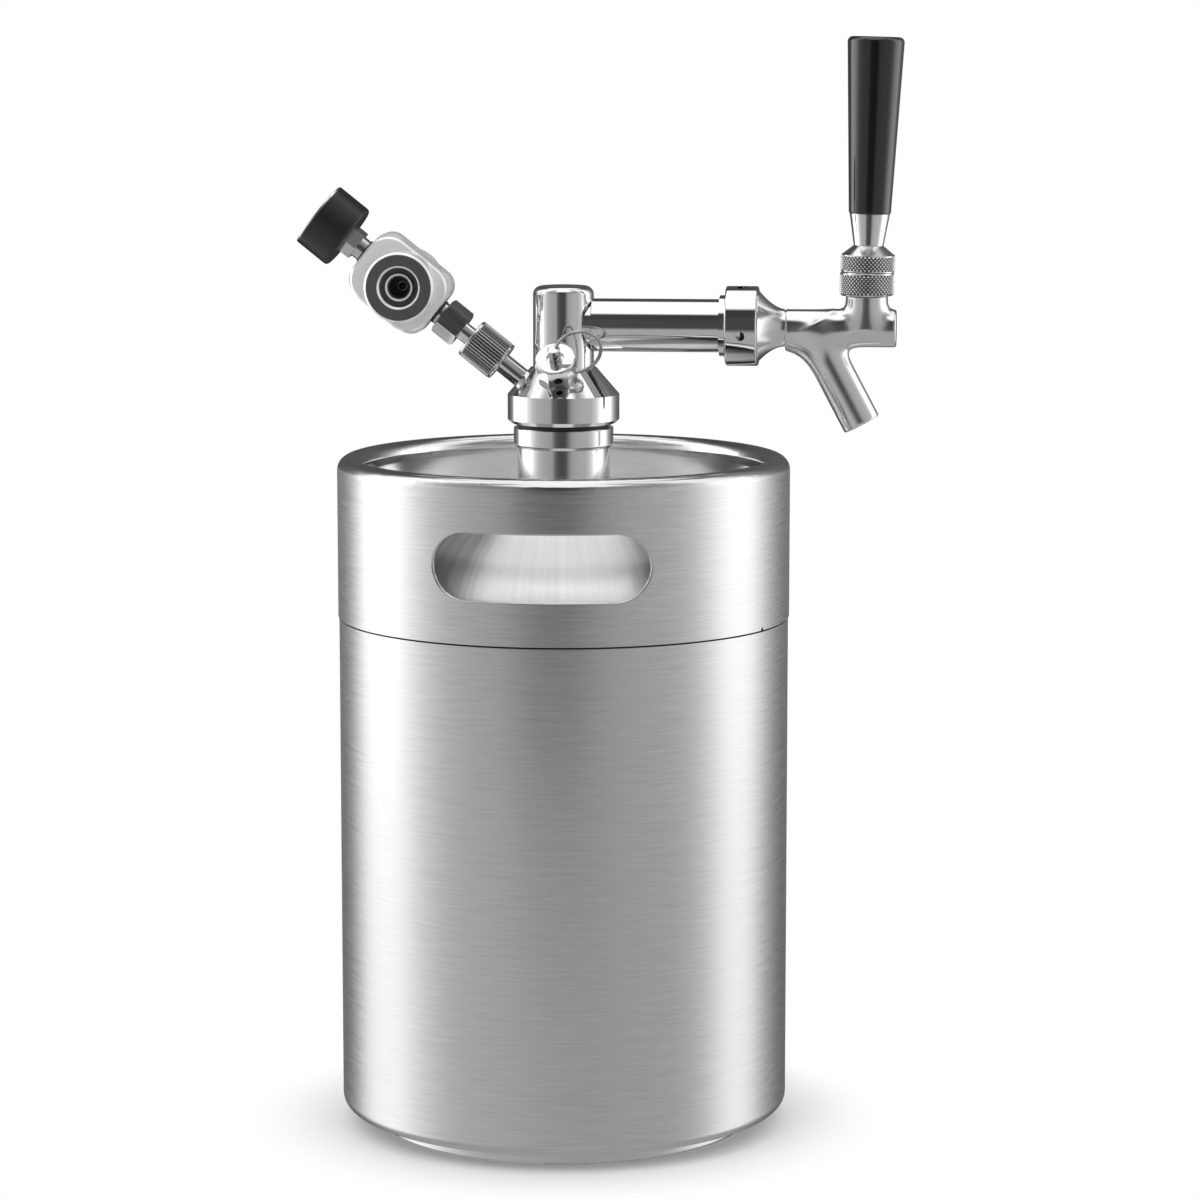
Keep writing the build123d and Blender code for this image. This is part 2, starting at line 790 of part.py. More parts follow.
with BuildPart() as faucet_casting:
    add(faucet_body.part)
    add(faucet_web.part)
    # Bore for the shaft, seat and recess for the seat washer
    with BuildSketch(across(arm_line, seat_x)):
        Circle(seat_r)
    extrude(amount=seat_length, mode=Mode.SUBTRACT)
    with BuildSketch(across(arm_line, faucet_x - 1)):
        Circle(seat_recess_r)
    extrude(amount=seat_x - faucet_x + 1, mode=Mode.SUBTRACT)
    with BuildSketch(across(arm_line, seat_x + seat_length)):
        Circle(bore_rear_r)
    extrude(amount=bore_step_x - seat_x - seat_length, mode=Mode.SUBTRACT)
    with BuildSketch(across(arm_line, bore_step_x)):
        Circle(bore_front_r)
    extrude(amount=bore_end_x - bore_step_x, mode=Mode.SUBTRACT)
    # Spout's bore
    bore_root = spout_tip - spout_dir * ((arm_z - spout_end[1]) / -spout_dir.Z)
    with BuildSketch(Plane(origin=bore_root, x_dir=spout_across, z_dir=spout_dir)):
        Circle(spout_passage_r)
    extrude(amount=(spout_tip - bore_root).length, mode=Mode.SUBTRACT)
    mouth_root = spout_tip - spout_dir * spout_mouth
    with BuildSketch(Plane(origin=mouth_root, x_dir=spout_across, z_dir=spout_dir)):
        Circle(spout_bore)
    extrude(amount=spout_mouth + 1, mode=Mode.SUBTRACT)
    # Ball seat, seal bore and the slot that the lever's arm swings in
    seal_offset = sqrt((ball_r + ball_seal_cord + face_gap) ** 2 - ball_seal_r**2)
    seal_floor = ball_z - seal_offset - ball_seal_cord - face_gap
    pocket_r = ball_r + thread_gap
    with Locations(tuple(ball_centre)):
        Sphere(pocket_r, mode=Mode.SUBTRACT)
    with BuildSketch(Plane.XY.offset(ball_z)):
        with Locations((stem_x, 0)):
            Circle(pocket_r)
    extrude(amount=pocket_r, mode=Mode.SUBTRACT)
    with BuildSketch(Plane.XY.offset(seal_floor)):
        with Locations((stem_x, 0)):
            Circle(ball_seal_r + ball_seal_cord + face_gap)
    extrude(amount=ball_z - seal_floor, mode=Mode.SUBTRACT)
    full_swing = radians(lever_swing + lever_lean)
    slot_half = lever_arm_r + 1.2
    arm_reach = (ball_z - arm_z) * tan(full_swing) * 0.7 + lever_arm_r / cos(full_swing) + pocket_gap
    with BuildSketch(Plane.XY.offset(arm_z)):
        with Locations((stem_x - (arm_reach - slot_half) / 2, 0)):
            SlotOverall(arm_reach + slot_half, 2 * slot_half)
    extrude(amount=seal_floor - arm_z, mode=Mode.SUBTRACT)
save(faucet_casting, "faucet_body")

dome_h = bonnet_top - ball_z
dome_sphere = sqrt(bonnet_r**2 + dome_h**2)
inner_h = bonnet_top - 2.8 - ball_z
with BuildPart() as faucet_bonnet:
    with BuildSketch(stem_line):
        with BuildLine():
            pocket_edge = sqrt(pocket_r**2 - inner_h**2)
            low_h = bonnet_z - ball_z
            dome_mid = radians(45)
            ThreePointArc(
                (bonnet_r, dome_h),
                (dome_sphere * sin(dome_mid) * 0.7, sqrt(dome_sphere**2 - (dome_sphere * sin(dome_mid) * 0.7) ** 2)),
                (0, dome_sphere),
            )
            Line((0, dome_sphere), (0, pocket_r))
            ThreePointArc(
                (0, pocket_r),
                (pocket_edge / 2, sqrt(pocket_r**2 - pocket_edge**2 / 4)),
                (pocket_edge, inner_h),
            )
            Polyline(
                (pocket_edge, inner_h),
                (stem_thread_r + thread_gap, inner_h),
                (stem_thread_r + thread_gap, low_h),
                (bonnet_r - bonnet_edge, low_h),
                (bonnet_r, low_h + bonnet_edge),
                (bonnet_r, dome_h),
            )
        make_face()
    revolve(axis=Axis(stem_line.origin, stem_line.y_dir))
    neck_half = lever_neck_r + 0.2
    swing_reach = dome_sphere * sin(full_swing) + lever_neck_r / cos(full_swing)
    with BuildSketch(Plane.XY.offset(ball_z + inner_h - 1)):
        with Locations((stem_x + (swing_reach - neck_half) / 2, 0)):
            SlotOverall(swing_reach + neck_half, 2 * neck_half)
    extrude(amount=dome_sphere, mode=Mode.SUBTRACT)
save(faucet_bonnet, "faucet_bonnet")

ball_seal = seal_ring(stem_line, -seal_offset, ball_seal_r, ball_seal_cord)
save(ball_seal, "ball_seal")

lever_axis = Axis(lever_line.origin, lever_line.y_dir)
tip_h = -(ball_z - arm_z) / cos(lean)
with BuildPart() as ball_lever:
    with Locations(tuple(ball_centre)):
        Sphere(ball_r)
    with BuildSketch(across(lever_line, 0)):
        Circle(lever_neck_r)
    extrude(amount=lever_stud_top)
    with BuildSketch(across(lever_line, tip_h)):
        Circle(lever_arm_r)
    extrude(amount=-tip_h)
    with Locations(tuple(ball_centre + lever_line.y_dir * tip_h)):
        Sphere(lever_tip_r)
save(ball_lever, "ball_lever")

hollow = dome_sphere + swing_gap
stud_hole = lever_neck_r + fit
with BuildPart() as lever_collar:
    with BuildSketch(lever_line):
        with BuildLine():
            hollow_top = sqrt(hollow**2 - stud_hole**2)
            hollow_edge = sqrt(hollow**2 - bonnet_r**2)
            mid_r = (stud_hole + bonnet_r) / 2
            Polyline(
                (bonnet_r, hollow_edge),
                (bonnet_r, collar_rim_h),
                (collar_cone_r, collar_cone_h),
                (stud_hole, collar_cone_h),
                (stud_hole, hollow_top),
            )
            ThreePointArc(
                (stud_hole, hollow_top), (mid_r, sqrt(hollow**2 - mid_r**2)), (bonnet_r, hollow_edge)
            )
        make_face()
    revolve(axis=lever_axis)
save(lever_collar, "lever_collar")

handle_ferrule = turned(
    lever_line,
    (stud_hole, collar_cone_h + face_gap),
    (collar_cone_r, collar_cone_h + face_gap),
    (ferrule_top_r, ferrule_top_h),
    (handle_stud_r, ferrule_top_h),
    (handle_stud_r, ferrule_top_h + handle_socket - 1),
    (0, ferrule_top_h + handle_socket - 1),
    (0, lever_stud_top + 1),
    (stud_hole, lever_stud_top + 1),
)
save(handle_ferrule, "handle_ferrule")

with BuildPart() as tap_handle:
    with BuildSketch(lever_line):
        with BuildLine():
            Polyline(
                (handle_stud_r + fit, ferrule_top_h + face_gap),
                (handle_r, ferrule_top_h + face_gap),
                (handle_top_r, handle_top_h),
                (0, handle_top_h),
                (0, ferrule_top_h + handle_socket),
                (handle_stud_r + fit, ferrule_top_h + handle_socket),
                close=True,
            )
        make_face()
    revolve(axis=lever_axis)
    rim = tap_handle.edges().sort_by(lever_axis)[-1]
    fillet(rim, handle_round)
save(tap_handle, "tap_handle")

# Faucet shaft: guide with a pocket for the lever's tip, rod, seat washer and nut
tip_x = stem_x - (ball_z - arm_z) * tan(lean)
shaft_axis = Axis(arm_line.origin, arm_line.y_dir)
washer_step = seat_x - face_gap - seat_washer_height
pocket_half = lever_tip_r + pocket_gap
with BuildPart() as faucet_shaft:
    with BuildSketch(arm_line):
        with BuildLine():
            Polyline(
                (0, rod_x),
                (rod_r, rod_x),
                (rod_r, guide_x),
                (guide_r, guide_x),
                (guide_r, guide_end_x),
                (0, guide_end_x),
                close=True,
            )
        make_face()
    revolve(axis=shaft_axis)
    with BuildSketch(Plane.XZ):
        with BuildLine():
            floor_z = arm_z - lever_tip_r - pocket_gap
            top_z = arm_z + guide_r + 1
            flank = (top_z - arm_z) * tan(full_swing) + lever_arm_r / cos(full_swing) + pocket_gap
            Polyline(
                (tip_x - pocket_half, floor_z),
                (tip_x + pocket_half, floor_z),
                (tip_x + pocket_half, arm_z),
                (tip_x + max(flank, pocket_half), top_z),
                (tip_x - pocket_half, top_z),
                close=True,
            )
        make_face()
    extrude(amount=pocket_half, both=True, mode=Mode.SUBTRACT)
save(faucet_shaft, "faucet_shaft")

seat_washer = sleeve(arm_line, rod_r + fit, seat_washer_r, washer_step, seat_x - face_gap)
save(seat_washer, "seat_washer")
with BuildPart() as shaft_nut:
    with BuildSketch(across(arm_line, washer_step - face_gap - shaft_nut_height)):
        RegularPolygon(shaft_nut_across / 2, 6, major_radius=False)
        Circle(rod_r + fit, mode=Mode.SUBTRACT)
    extrude(amount=shaft_nut_height)
save(shaft_nut, "shaft_nut")

# Relief valve -------------------------------------------------------------------------------

relief_axis = Axis(relief_line.origin, relief_line.y_dir)
seat_top = -relief_stud + relief_seat_height
relief_foot = relief_foot_h + face_gap
hex_corner = relief_across / sqrt(3)
with BuildPart() as relief_body:
    with BuildSketch(relief_line):
        with BuildLine():
            Polyline(
                (relief_seat_r, -relief_stud + fit),
                (relief_stud_r, -relief_stud + fit),
                (relief_stud_r, relief_foot),
                (hex_corner, relief_foot),
                (hex_corner, relief_top_h),
                (relief_plug_r + thread_gap, relief_top_h),
                (relief_plug_r + thread_gap, relief_plug_h),
                (relief_chamber_r, relief_plug_h),
                (relief_chamber_r, seat_top),
                (relief_seat_r, seat_top),
                close=True,
            )
        make_face()
    revolve(axis=relief_axis)
    stud_end = relief_line.origin - relief_dir * relief_stud
    with BuildSketch(Plane(origin=stud_end, x_dir=vent_dir, z_dir=relief_dir)):
        RegularPolygon(relief_across / 2, 6, major_radius=False, rotation=30)
    extrude(amount=relief_stud + relief_top_h, mode=Mode.INTERSECT)
    vent_root = relief_line.origin + relief_dir * relief_vent_h + vent_dir * relief_seat_r
    with BuildSketch(Plane(origin=vent_root, x_dir=relief_dir, z_dir=vent_dir)):
        Circle(relief_vent_r)
    extrude(amount=relief_across, mode=Mode.SUBTRACT)
save(relief_body, "relief_body")

relief_cap = turned(
    relief_line,
    (stem_rod_r + thread_gap, relief_plug_h + face_gap),
    (relief_plug_r, relief_plug_h + face_gap),
    (relief_plug_r, relief_top_h + face_gap),
    (relief_disc_r - 0.4, relief_top_h + face_gap),
    (relief_disc_r, relief_top_h + 0.4),
    (relief_disc_r, relief_disc_top - 0.4),
    (relief_disc_r - 0.4, relief_disc_top),
    (relief_recess_r, relief_disc_top),
    (relief_recess_r, relief_disc_top - relief_recess),
    (stem_rod_r + thread_gap, relief_disc_top - relief_recess),
)
save(relief_cap, "relief_cap")

seal_low = seat_top + face_gap
seal_high = seal_low + relief_seal_height
relief_seal = turned(
    relief_line, (0, seal_low), (relief_seal_r, seal_low), (relief_seal_r, seal_high), (0, seal_high)
)
save(relief_seal, "relief_seal")

pull_angle = radians(pull_turn)
relief_up = relief_line.z_dir * -1
pull_dir = relief_up * cos(pull_angle) - relief_side * sin(pull_angle)
droop = radians(pull_droop)
ring_out = (relief_side * cos(pull_angle) + relief_up * sin(pull_angle)) * cos(droop)
ring_out = ring_out - relief_dir * sin(droop)
pull_point = relief_line.origin + relief_dir * pull_hole_h
with BuildPart() as relief_stem:
    with BuildSketch(relief_line):
        with BuildLine():
            post_z = relief_disc_top - relief_recess + face_gap
            Polyline(
                (0, seal_high + face_gap),
                (relief_seal_r - 0.3, seal_high + face_gap),
                (relief_seal_r - 0.3, seal_high + 0.5),
                (stem_rod_r, seal_high + 0.5),
                (stem_rod_r, post_z),
                (stem_post_r, post_z),
                (stem_post_r, stem_post_top - 0.5),
                (stem_post_r - 0.5, stem_post_top),
                (0, stem_post_top),
                close=True,
            )
        make_face()
    revolve(axis=relief_axis)
    with BuildSketch(Plane(origin=pull_point - pull_dir * 5, x_dir=relief_dir, z_dir=pull_dir)):
        Circle(pull_hole_r)
    extrude(amount=10, mode=Mode.SUBTRACT)
save(relief_stem, "relief_stem")

ring_centre = pull_point + ring_out * pull_ring_r
ring_plane = Plane(origin=ring_centre, x_dir=ring_out, z_dir=pull_dir)
pull_ring = seal_ring(ring_plane, 0, pull_ring_r, pull_wire_r)
save(pull_ring, "pull_ring")

relief_spring = coil_spring(
    relief_line, relief_spring_r, relief_wire_r, seal_high + 0.6, relief_plug_h - 0.1, relief_coils
)
save(relief_spring, "relief_spring")

# Gas post, swivel nut and outlet ------------------------------------------------------------

gas_post = turned(
    gas_line,
    (post_bore, post_s + face_gap),
    (post_r, post_s + face_gap),
    (post_r, post_flange_s),
    (post_flange_r, post_flange_s),
    (post_flange_r, post_end_s),
    (post_bore, post_end_s),
)
save(gas_post, "gas_post")

swivel_nut = turned(
    gas_line,
    (post_r + thread_gap, swivel_s),
    (swivel_r - swivel_bevel, swivel_s),
    (swivel_r, swivel_s + swivel_bevel),
    (swivel_r, swivel_end_s - swivel_bevel),
    (swivel_r - swivel_bevel, swivel_end_s),
    (swivel_thread_r, swivel_end_s),
    (swivel_thread_r, swivel_s + swivel_shoulder),
    (post_r + thread_gap, swivel_s + swivel_shoulder),
)
save(swivel_nut, "swivel_nut")

washer_s = post_end_s + face_gap
gas_washer = sleeve(gas_line, post_bore, post_flange_r - fit, washer_s, washer_s + gas_washer_height)
save(gas_washer, "gas_washer")

tail_s = washer_s + gas_washer_height + face_gap
tail_r = swivel_thread_r - thread_gap
gas_stem = turned(
    gas_line,
    (stem_bore, tail_s),
    (tail_r, tail_s),
    (tail_r, stem_tail_end_s),
    (stem_tube_r, stem_tail_end_s),
    (stem_tube_r, hex_s - face_gap),
    (stem_tube_r - 0.5, hex_s - face_gap),
    (stem_tube_r - 0.5, hex_s + stem_grip),
    (stem_bore, hex_s + stem_grip),
)
save(gas_stem, "gas_stem")

seal_s = hex_end_s + outlet_collar + face_gap
nipple_end_s = block_s + nipple
with BuildPart() as outlet_hex:
    with BuildSketch(gas_line):
        with BuildLine():
            hex_corner = hex_across / sqrt(3)
            hex_flat = hex_across / 2 - 0.1
            Polyline(
                (stem_tube_r - 0.5 + fit, hex_s),
                (hex_flat, hex_s),
                (hex_corner, hex_s + 0.6),
                (hex_corner, hex_end_s - 0.6),
                (hex_flat, hex_end_s),
                (outlet_collar_r, hex_end_s),
                (outlet_collar_r, hex_end_s + outlet_collar),
                (nipple_r, hex_end_s + outlet_collar),
                (nipple_r, nipple_end_s),
                (stem_bore, nipple_end_s),
                (stem_bore, hex_s + stem_grip + face_gap),
                (stem_tube_r - 0.5 + fit, hex_s + stem_grip + face_gap),
                close=True,
            )
        make_face()
    revolve(axis=Axis(gas_line.origin, gas_line.y_dir))
    with BuildSketch(across(gas_line, hex_s)):
        RegularPolygon(hex_across / 2, 6, major_radius=False)
    extrude(amount=nipple_end_s - hex_s, mode=Mode.INTERSECT)
save(outlet_hex, "outlet_hex")

outlet_seal = sleeve(gas_line, nipple_r + fit, outlet_seal_r, seal_s, block_s - face_gap)
save(outlet_seal, "outlet_seal")

# Regulator ----------------------------------------------------------------------------------

half_depth = block_depth / 2
block_plane = Plane(origin=port_centre, x_dir=gas_dir, z_dir=(0, -1, 0))
block_shift = (block_s + block_end_s) / 2 - boss_s
boss_front = half_depth + boss_depth
gauge_root_s = block_end_s - gauge_stem
tap_shift = chamber_r - 1.2
with BuildPart() as regulator_body:
    with BuildSketch(block_plane.offset(-block_back)):
        with Locations((block_shift, block_drop)):
            RectangleRounded(block_end_s - block_s, block_width, block_rear_corner)
    extrude(amount=half_depth + block_back)
    # The front stretch is cut down to rounder corners
    with BuildSketch(block_plane.offset(half_depth - block_step)):
        with Locations((block_shift, block_drop)):
            Rectangle(block_end_s - block_s + 2, block_width + 2)
            RectangleRounded(block_end_s - block_s, block_width, block_corner, mode=Mode.SUBTRACT)
    extrude(amount=block_step + 1, mode=Mode.SUBTRACT)
    with BuildSketch(block_plane.offset(-half_depth)):
        Circle(housing_r)
    extrude(amount=half_depth - block_back)
    end_faces = regulator_body.faces().sort_by(Axis.Y)
    chamfer(end_faces[0].edges() + end_faces[-1].edges(), block_edge)
    with BuildSketch(across(port_line, 0)):
        Circle(boss_r)
    extrude(amount=boss_front)
    chamfer(regulator_body.faces().sort_by(Axis.Y)[0].edges(), boss_edge)
    # Cartridge port
    with BuildSketch(across(port_line, boss_front - counterbore)):
        Circle(counterbore_r)
    extrude(amount=counterbore, mode=Mode.SUBTRACT)
    mouth = regulator_body.faces().sort_by(Axis.Y)[0].edges().filter_by(
        lambda edge: edge.geom_type == GeomType.CIRCLE and abs(edge.radius - counterbore_r) < 0.01
    )
    chamfer(mouth, counterbore_edge)
    port_floor = boss_front - insert_front - insert_length - port_seal_height
    with BuildSketch(across(port_line, port_floor)):
        Circle(insert_r + fit)
    extrude(amount=boss_front, mode=Mode.SUBTRACT)
    # Low-pressure chamber behind the diaphragm, and its seat
    with BuildSketch(across(port_line, -half_depth)):
        Circle(chamber_r)
    extrude(amount=chamber_depth, mode=Mode.SUBTRACT)
    with BuildSketch(across(port_line, -half_depth)):
        Circle(diaphragm_r + fit)
    extrude(amount=diaphragm_height + face_gap, mode=Mode.SUBTRACT)
    with BuildSketch(across(port_line, -half_depth)):
        Circle(passage_r)
    extrude(amount=port_floor + half_depth, mode=Mode.SUBTRACT)
    # Outlet and gauge sockets with their cross holes to the chamber
    with BuildSketch(across(gas_line, block_s)):
        Circle(nipple_r + fit)
    extrude(amount=boss_s - tap_shift + passage_r - block_s, mode=Mode.SUBTRACT)
    with BuildSketch(across(gas_line, boss_s + tap_shift - passage_r)):
        Circle(gauge_stem_r + fit)
    extrude(amount=block_end_s - boss_s - tap_shift + passage_r, mode=Mode.SUBTRACT)
    with BuildSketch(block_plane):
        with Locations((-tap_shift, 0), (tap_shift, 0)):
            Circle(passage_r)
    extrude(amount=-(half_depth - chamber_depth / 2), mode=Mode.SUBTRACT)
save(regulator_body, "regulator_body")

insert_top = boss_front - insert_front
insert_floor = insert_top - insert_length
thread_floor = insert_floor + insert_undercut
port_insert = turned(
    port_line,
    (insert_undercut_r, insert_floor),
    (insert_r, insert_floor),
    (insert_r, insert_top - 0.3),
    (insert_r - 0.3, insert_top),
    (insert_bore + 0.5, insert_top),
    (insert_bore, insert_top - 0.5),
    (insert_bore, thread_floor),
    (insert_undercut_r, thread_floor),
)
save(port_insert, "port_insert")

seal_top = insert_floor - face_gap
port_seal = sleeve(port_line, pin_r + 0.5 + fit, insert_r - 0.2, port_floor + face_gap, seal_top)
save(port_seal, "port_seal")
piercing_pin = turned(
    port_line,
    (passage_r / 2, port_floor + face_gap),
    (pin_r + 0.5, port_floor + face_gap),
    (pin_r + 0.5, port_floor + 1.2),
    (pin_r, port_floor + 1.2),
    (pin_r, port_floor + port_seal_height + 1),
    (passage_r / 2, port_floor + port_seal_height + pin_point),
)
save(piercing_pin, "piercing_pin")

# Heights along port_line turn negative behind the block.
diaphragm_back = -half_depth
diaphragm = turned(
    port_line,
    (0, diaphragm_back + face_gap),
    (diaphragm_r, diaphragm_back + face_gap),
    (diaphragm_r, diaphragm_back + diaphragm_height),
    (0, diaphragm_back + diaphragm_height),
)
save(diaphragm, "diaphragm")

cup_back = -half_depth - bonnet_cup
cup_floor = cup_back + bonnet_cup_end
with BuildPart() as regulator_bonnet:
    with BuildSketch(port_line):
        with BuildLine():
            Polyline(
                (bonnet_cup_bore, -half_depth - face_gap),
                (bonnet_cup_r, -half_depth - face_gap),
                (bonnet_cup_r, -half_depth - 1.5),
                (bonnet_cup_back_r, cup_back + 1),
                (bonnet_cup_back_r - 1, cup_back),
                (spindle_r + fit, cup_back),
                (spindle_r + fit, cup_floor),
                (bonnet_cup_bore, cup_floor),
                close=True,
            )
        make_face()
    revolve(axis=Axis(port_line.origin, port_line.y_dir))
save(regulator_bonnet, "regulator_bonnet")

button_back = -half_depth - button_height
spring_button = turned(
    port_line, (0, button_back), (button_r + 2, button_back), (button_r + 2, -half_depth), (0, -half_depth)
)
save(spring_button, "spring_button")

clip_back = cup_floor + face_gap
clip_front = clip_back + circlip_height
knob_circlip = sleeve(port_line, spindle_r + fit, spindle_r + 1.5, clip_back, clip_front)
save(knob_circlip, "knob_circlip")

plate_back = clip_front + fit
plate_front = plate_back + plate_height
pressure_plate = sleeve(port_line, screw_r + thread_gap, bonnet_cup_bore - thread_gap, plate_back, plate_front)
save(pressure_plate, "pressure_plate")

adjust_spring = coil_spring(
    port_line, adjust_spring_r, adjust_wire_r, plate_front + 0.1, button_back - 0.1, adjust_coils
)
save(adjust_spring, "adjust_spring")

knob_front = cup_back - 0.4
knob_back = knob_front - knob_height
screw_tip = plate_front + plate_travel
with BuildPart() as adjust_knob:
    with BuildSketch(port_line):
        with BuildLine():
            Polyline(
                (0, knob_back),
                (knob_r - 1, knob_back),
                (knob_r, knob_back + 1),
                (knob_r, knob_front),
                (spindle_r, knob_front),
                (spindle_r, clip_front),
                (screw_r, clip_front),
                (screw_r, screw_tip),
                (0, screw_tip),
                close=True,
            )
        make_face()
    revolve(axis=Axis(port_line.origin, port_line.y_dir))
    with BuildSketch(across(port_line, knob_back)):
        with PolarLocations(knob_r + knob_flute_r / 2, knob_flutes):
            Circle(knob_flute_r)
    extrude(amount=knob_height - 1.5, mode=Mode.SUBTRACT)
save(adjust_knob, "adjust_knob")

# Gauge --------------------------------------------------------------------------------------

gauge_axis = Axis(gas_line.origin, gas_line.y_dir)
gauge_seal = sleeve(
    gas_line,
    gauge_stem_r + fit,
    gauge_neck_r + 0.5,
    block_end_s + face_gap,
    block_end_s + gauge_seal_height,
)
save(gauge_seal, "gauge_seal")

gauge_back = gauge_case_s + gauge_wall + face_gap
post_end = gauge_case_s + gauge_post
with BuildPart() as gauge_socket:
    with BuildSketch(gas_line):
        with BuildLine():
            neck_s = block_end_s + gauge_seal_height + face_gap
            Polyline(
                (passage_r, block_end_s - gauge_stem),
                (gauge_stem_r, block_end_s - gauge_stem),
                (gauge_stem_r, neck_s),
                (gauge_neck_r, neck_s),
                (gauge_neck_r, gauge_hex_s),
                (gauge_post_r, gauge_hex_s),
                (gauge_post_r, post_end),
                (passage_r, post_end),
                close=True,
            )
        make_face()
    revolve(axis=gauge_axis)
    with BuildSketch(across(gas_line, gauge_hex_s)):
        RegularPolygon(gauge_hex_across / 2, 6, major_radius=False, rotation=gauge_hex_turn)
        Circle(gauge_post_r, mode=Mode.SUBTRACT)
    extrude(amount=gauge_case_s - face_gap - gauge_hex_s)
    with BuildSketch(across(gas_line, post_end - 1)):
        with Locations((tube_foot[1] / 2, 0)):
            Rectangle(tube_foot[1], tube_foot[0])
        Circle(passage_r, mode=Mode.SUBTRACT)
    extrude(amount=tube_s - tube_cord - face_gap - post_end + 1)
save(gauge_socket, "gauge_socket")

case_inner = gauge_case_r - gauge_wall
with BuildPart() as gauge_case:
    with BuildSketch(gas_line):
        with BuildLine():
            Polyline(
                (gauge_post_r + fit, gauge_case_s),
                (gauge_case_r - gauge_back_round, gauge_case_s),
                (gauge_case_r, gauge_case_s + gauge_back_round),
                (gauge_case_r, gauge_case_end_s),
                (case_inner, gauge_case_end_s),
                (case_inner, gauge_back),
                (gauge_post_r + fit, gauge_back),
                close=True,
            )
        make_face()
    revolve(axis=gauge_axis)
save(gauge_case, "gauge_case")

bezel_s = gauge_case_end_s + face_gap
gauge_bezel = turned(
    gas_line,
    (bezel_opening, bezel_s),
    (gauge_case_r, bezel_s),
    (gauge_case_r, bezel_end_s - 0.3),
    (gauge_case_r - 0.3, bezel_end_s),
    (bezel_opening, bezel_end_s),
)
save(gauge_bezel, "gauge_bezel")

gauge_lens = turned(
    gas_line,
    (0, gauge_case_end_s - lens_height),
    (case_inner - fit, gauge_case_end_s - lens_height),
    (case_inner - fit, gauge_case_end_s),
    (0, gauge_case_end_s),
)
save(gauge_lens, "gauge_lens")

gauge_dial = sleeve(gas_line, needle_shaft_r + fit, case_inner - fit, dial_s, dial_s + dial_height)
save(gauge_dial, "gauge_dial")

needle_turn = radians(needle_rest_turn)
with BuildPart() as gauge_needle:
    with BuildSketch(across(gas_line, needle_s)):
        with BuildLine(mode=Mode.PRIVATE) as pointer:
            Polyline(
                (-needle_tail, -needle_width),
                (-needle_tail, needle_width),
                (needle_length, needle_width / 4),
                (needle_length, -needle_width / 4),
                close=True,
            )
        with Locations(Location((0, 0), needle_rest_turn)):
            add(make_face(pointer.edges(), mode=Mode.PRIVATE))
        Circle(needle_hub_r)
    extrude(amount=needle_height)
    with BuildSketch(across(gas_line, tube_s + tube_cord)):
        Circle(needle_shaft_r)
    extrude(amount=needle_s - tube_s - tube_cord)
save(gauge_needle, "gauge_needle")

with BuildPart() as bourdon_tube:
    with BuildSketch(gas_line):
        with Locations((tube_major_r, tube_s)):
            Circle(tube_cord)
    revolve(axis=gauge_axis, revolution_arc=tube_arc)
save(bourdon_tube, "bourdon_tube")
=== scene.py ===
import json
from math import cos, hypot, pi, radians, sin, sqrt

import bmesh
import bpy
from mathutils import Matrix, Quaternion, Vector
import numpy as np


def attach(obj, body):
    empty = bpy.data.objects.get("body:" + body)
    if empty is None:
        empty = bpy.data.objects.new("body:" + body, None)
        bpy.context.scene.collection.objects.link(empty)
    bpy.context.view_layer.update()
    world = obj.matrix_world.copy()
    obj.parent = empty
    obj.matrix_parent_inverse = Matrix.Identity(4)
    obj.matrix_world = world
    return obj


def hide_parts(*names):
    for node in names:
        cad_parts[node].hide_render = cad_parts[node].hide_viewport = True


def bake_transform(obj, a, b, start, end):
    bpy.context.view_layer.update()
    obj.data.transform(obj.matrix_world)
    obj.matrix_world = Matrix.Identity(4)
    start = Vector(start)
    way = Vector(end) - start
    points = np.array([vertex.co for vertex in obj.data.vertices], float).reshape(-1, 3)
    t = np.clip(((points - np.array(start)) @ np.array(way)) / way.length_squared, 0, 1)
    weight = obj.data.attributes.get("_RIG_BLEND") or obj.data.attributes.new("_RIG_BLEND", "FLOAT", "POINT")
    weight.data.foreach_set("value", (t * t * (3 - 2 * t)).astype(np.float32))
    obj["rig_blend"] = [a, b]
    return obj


# Mini keg with a tap head, lever faucet and gas regulator, in metres and in the CAD frame.
# The dictionaries give sizes in millimetres where they say so.

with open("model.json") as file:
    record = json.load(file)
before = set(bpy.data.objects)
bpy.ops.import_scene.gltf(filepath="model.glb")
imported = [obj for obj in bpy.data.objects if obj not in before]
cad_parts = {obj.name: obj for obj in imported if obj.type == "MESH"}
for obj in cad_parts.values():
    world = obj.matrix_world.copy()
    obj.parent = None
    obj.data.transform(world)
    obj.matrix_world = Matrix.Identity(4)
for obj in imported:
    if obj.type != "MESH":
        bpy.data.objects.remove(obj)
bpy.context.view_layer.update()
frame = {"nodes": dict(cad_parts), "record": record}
nodes = frame["nodes"]
mm = 0.001

scene = bpy.context.scene
scene.view_settings.view_transform = "Standard"

camera = {
    "lens": 124.631,  # on a 36 mm sensor
    "distance": 1.57036,  # from the keg's axis, on the floor plan
    "height": 0.42825,
    "around": 6.0,  # degrees from straight in front, towards the tap
    "down": 8.2048,  # degrees
    "aside": 0.5042,  # degrees the view is turned to the right
}


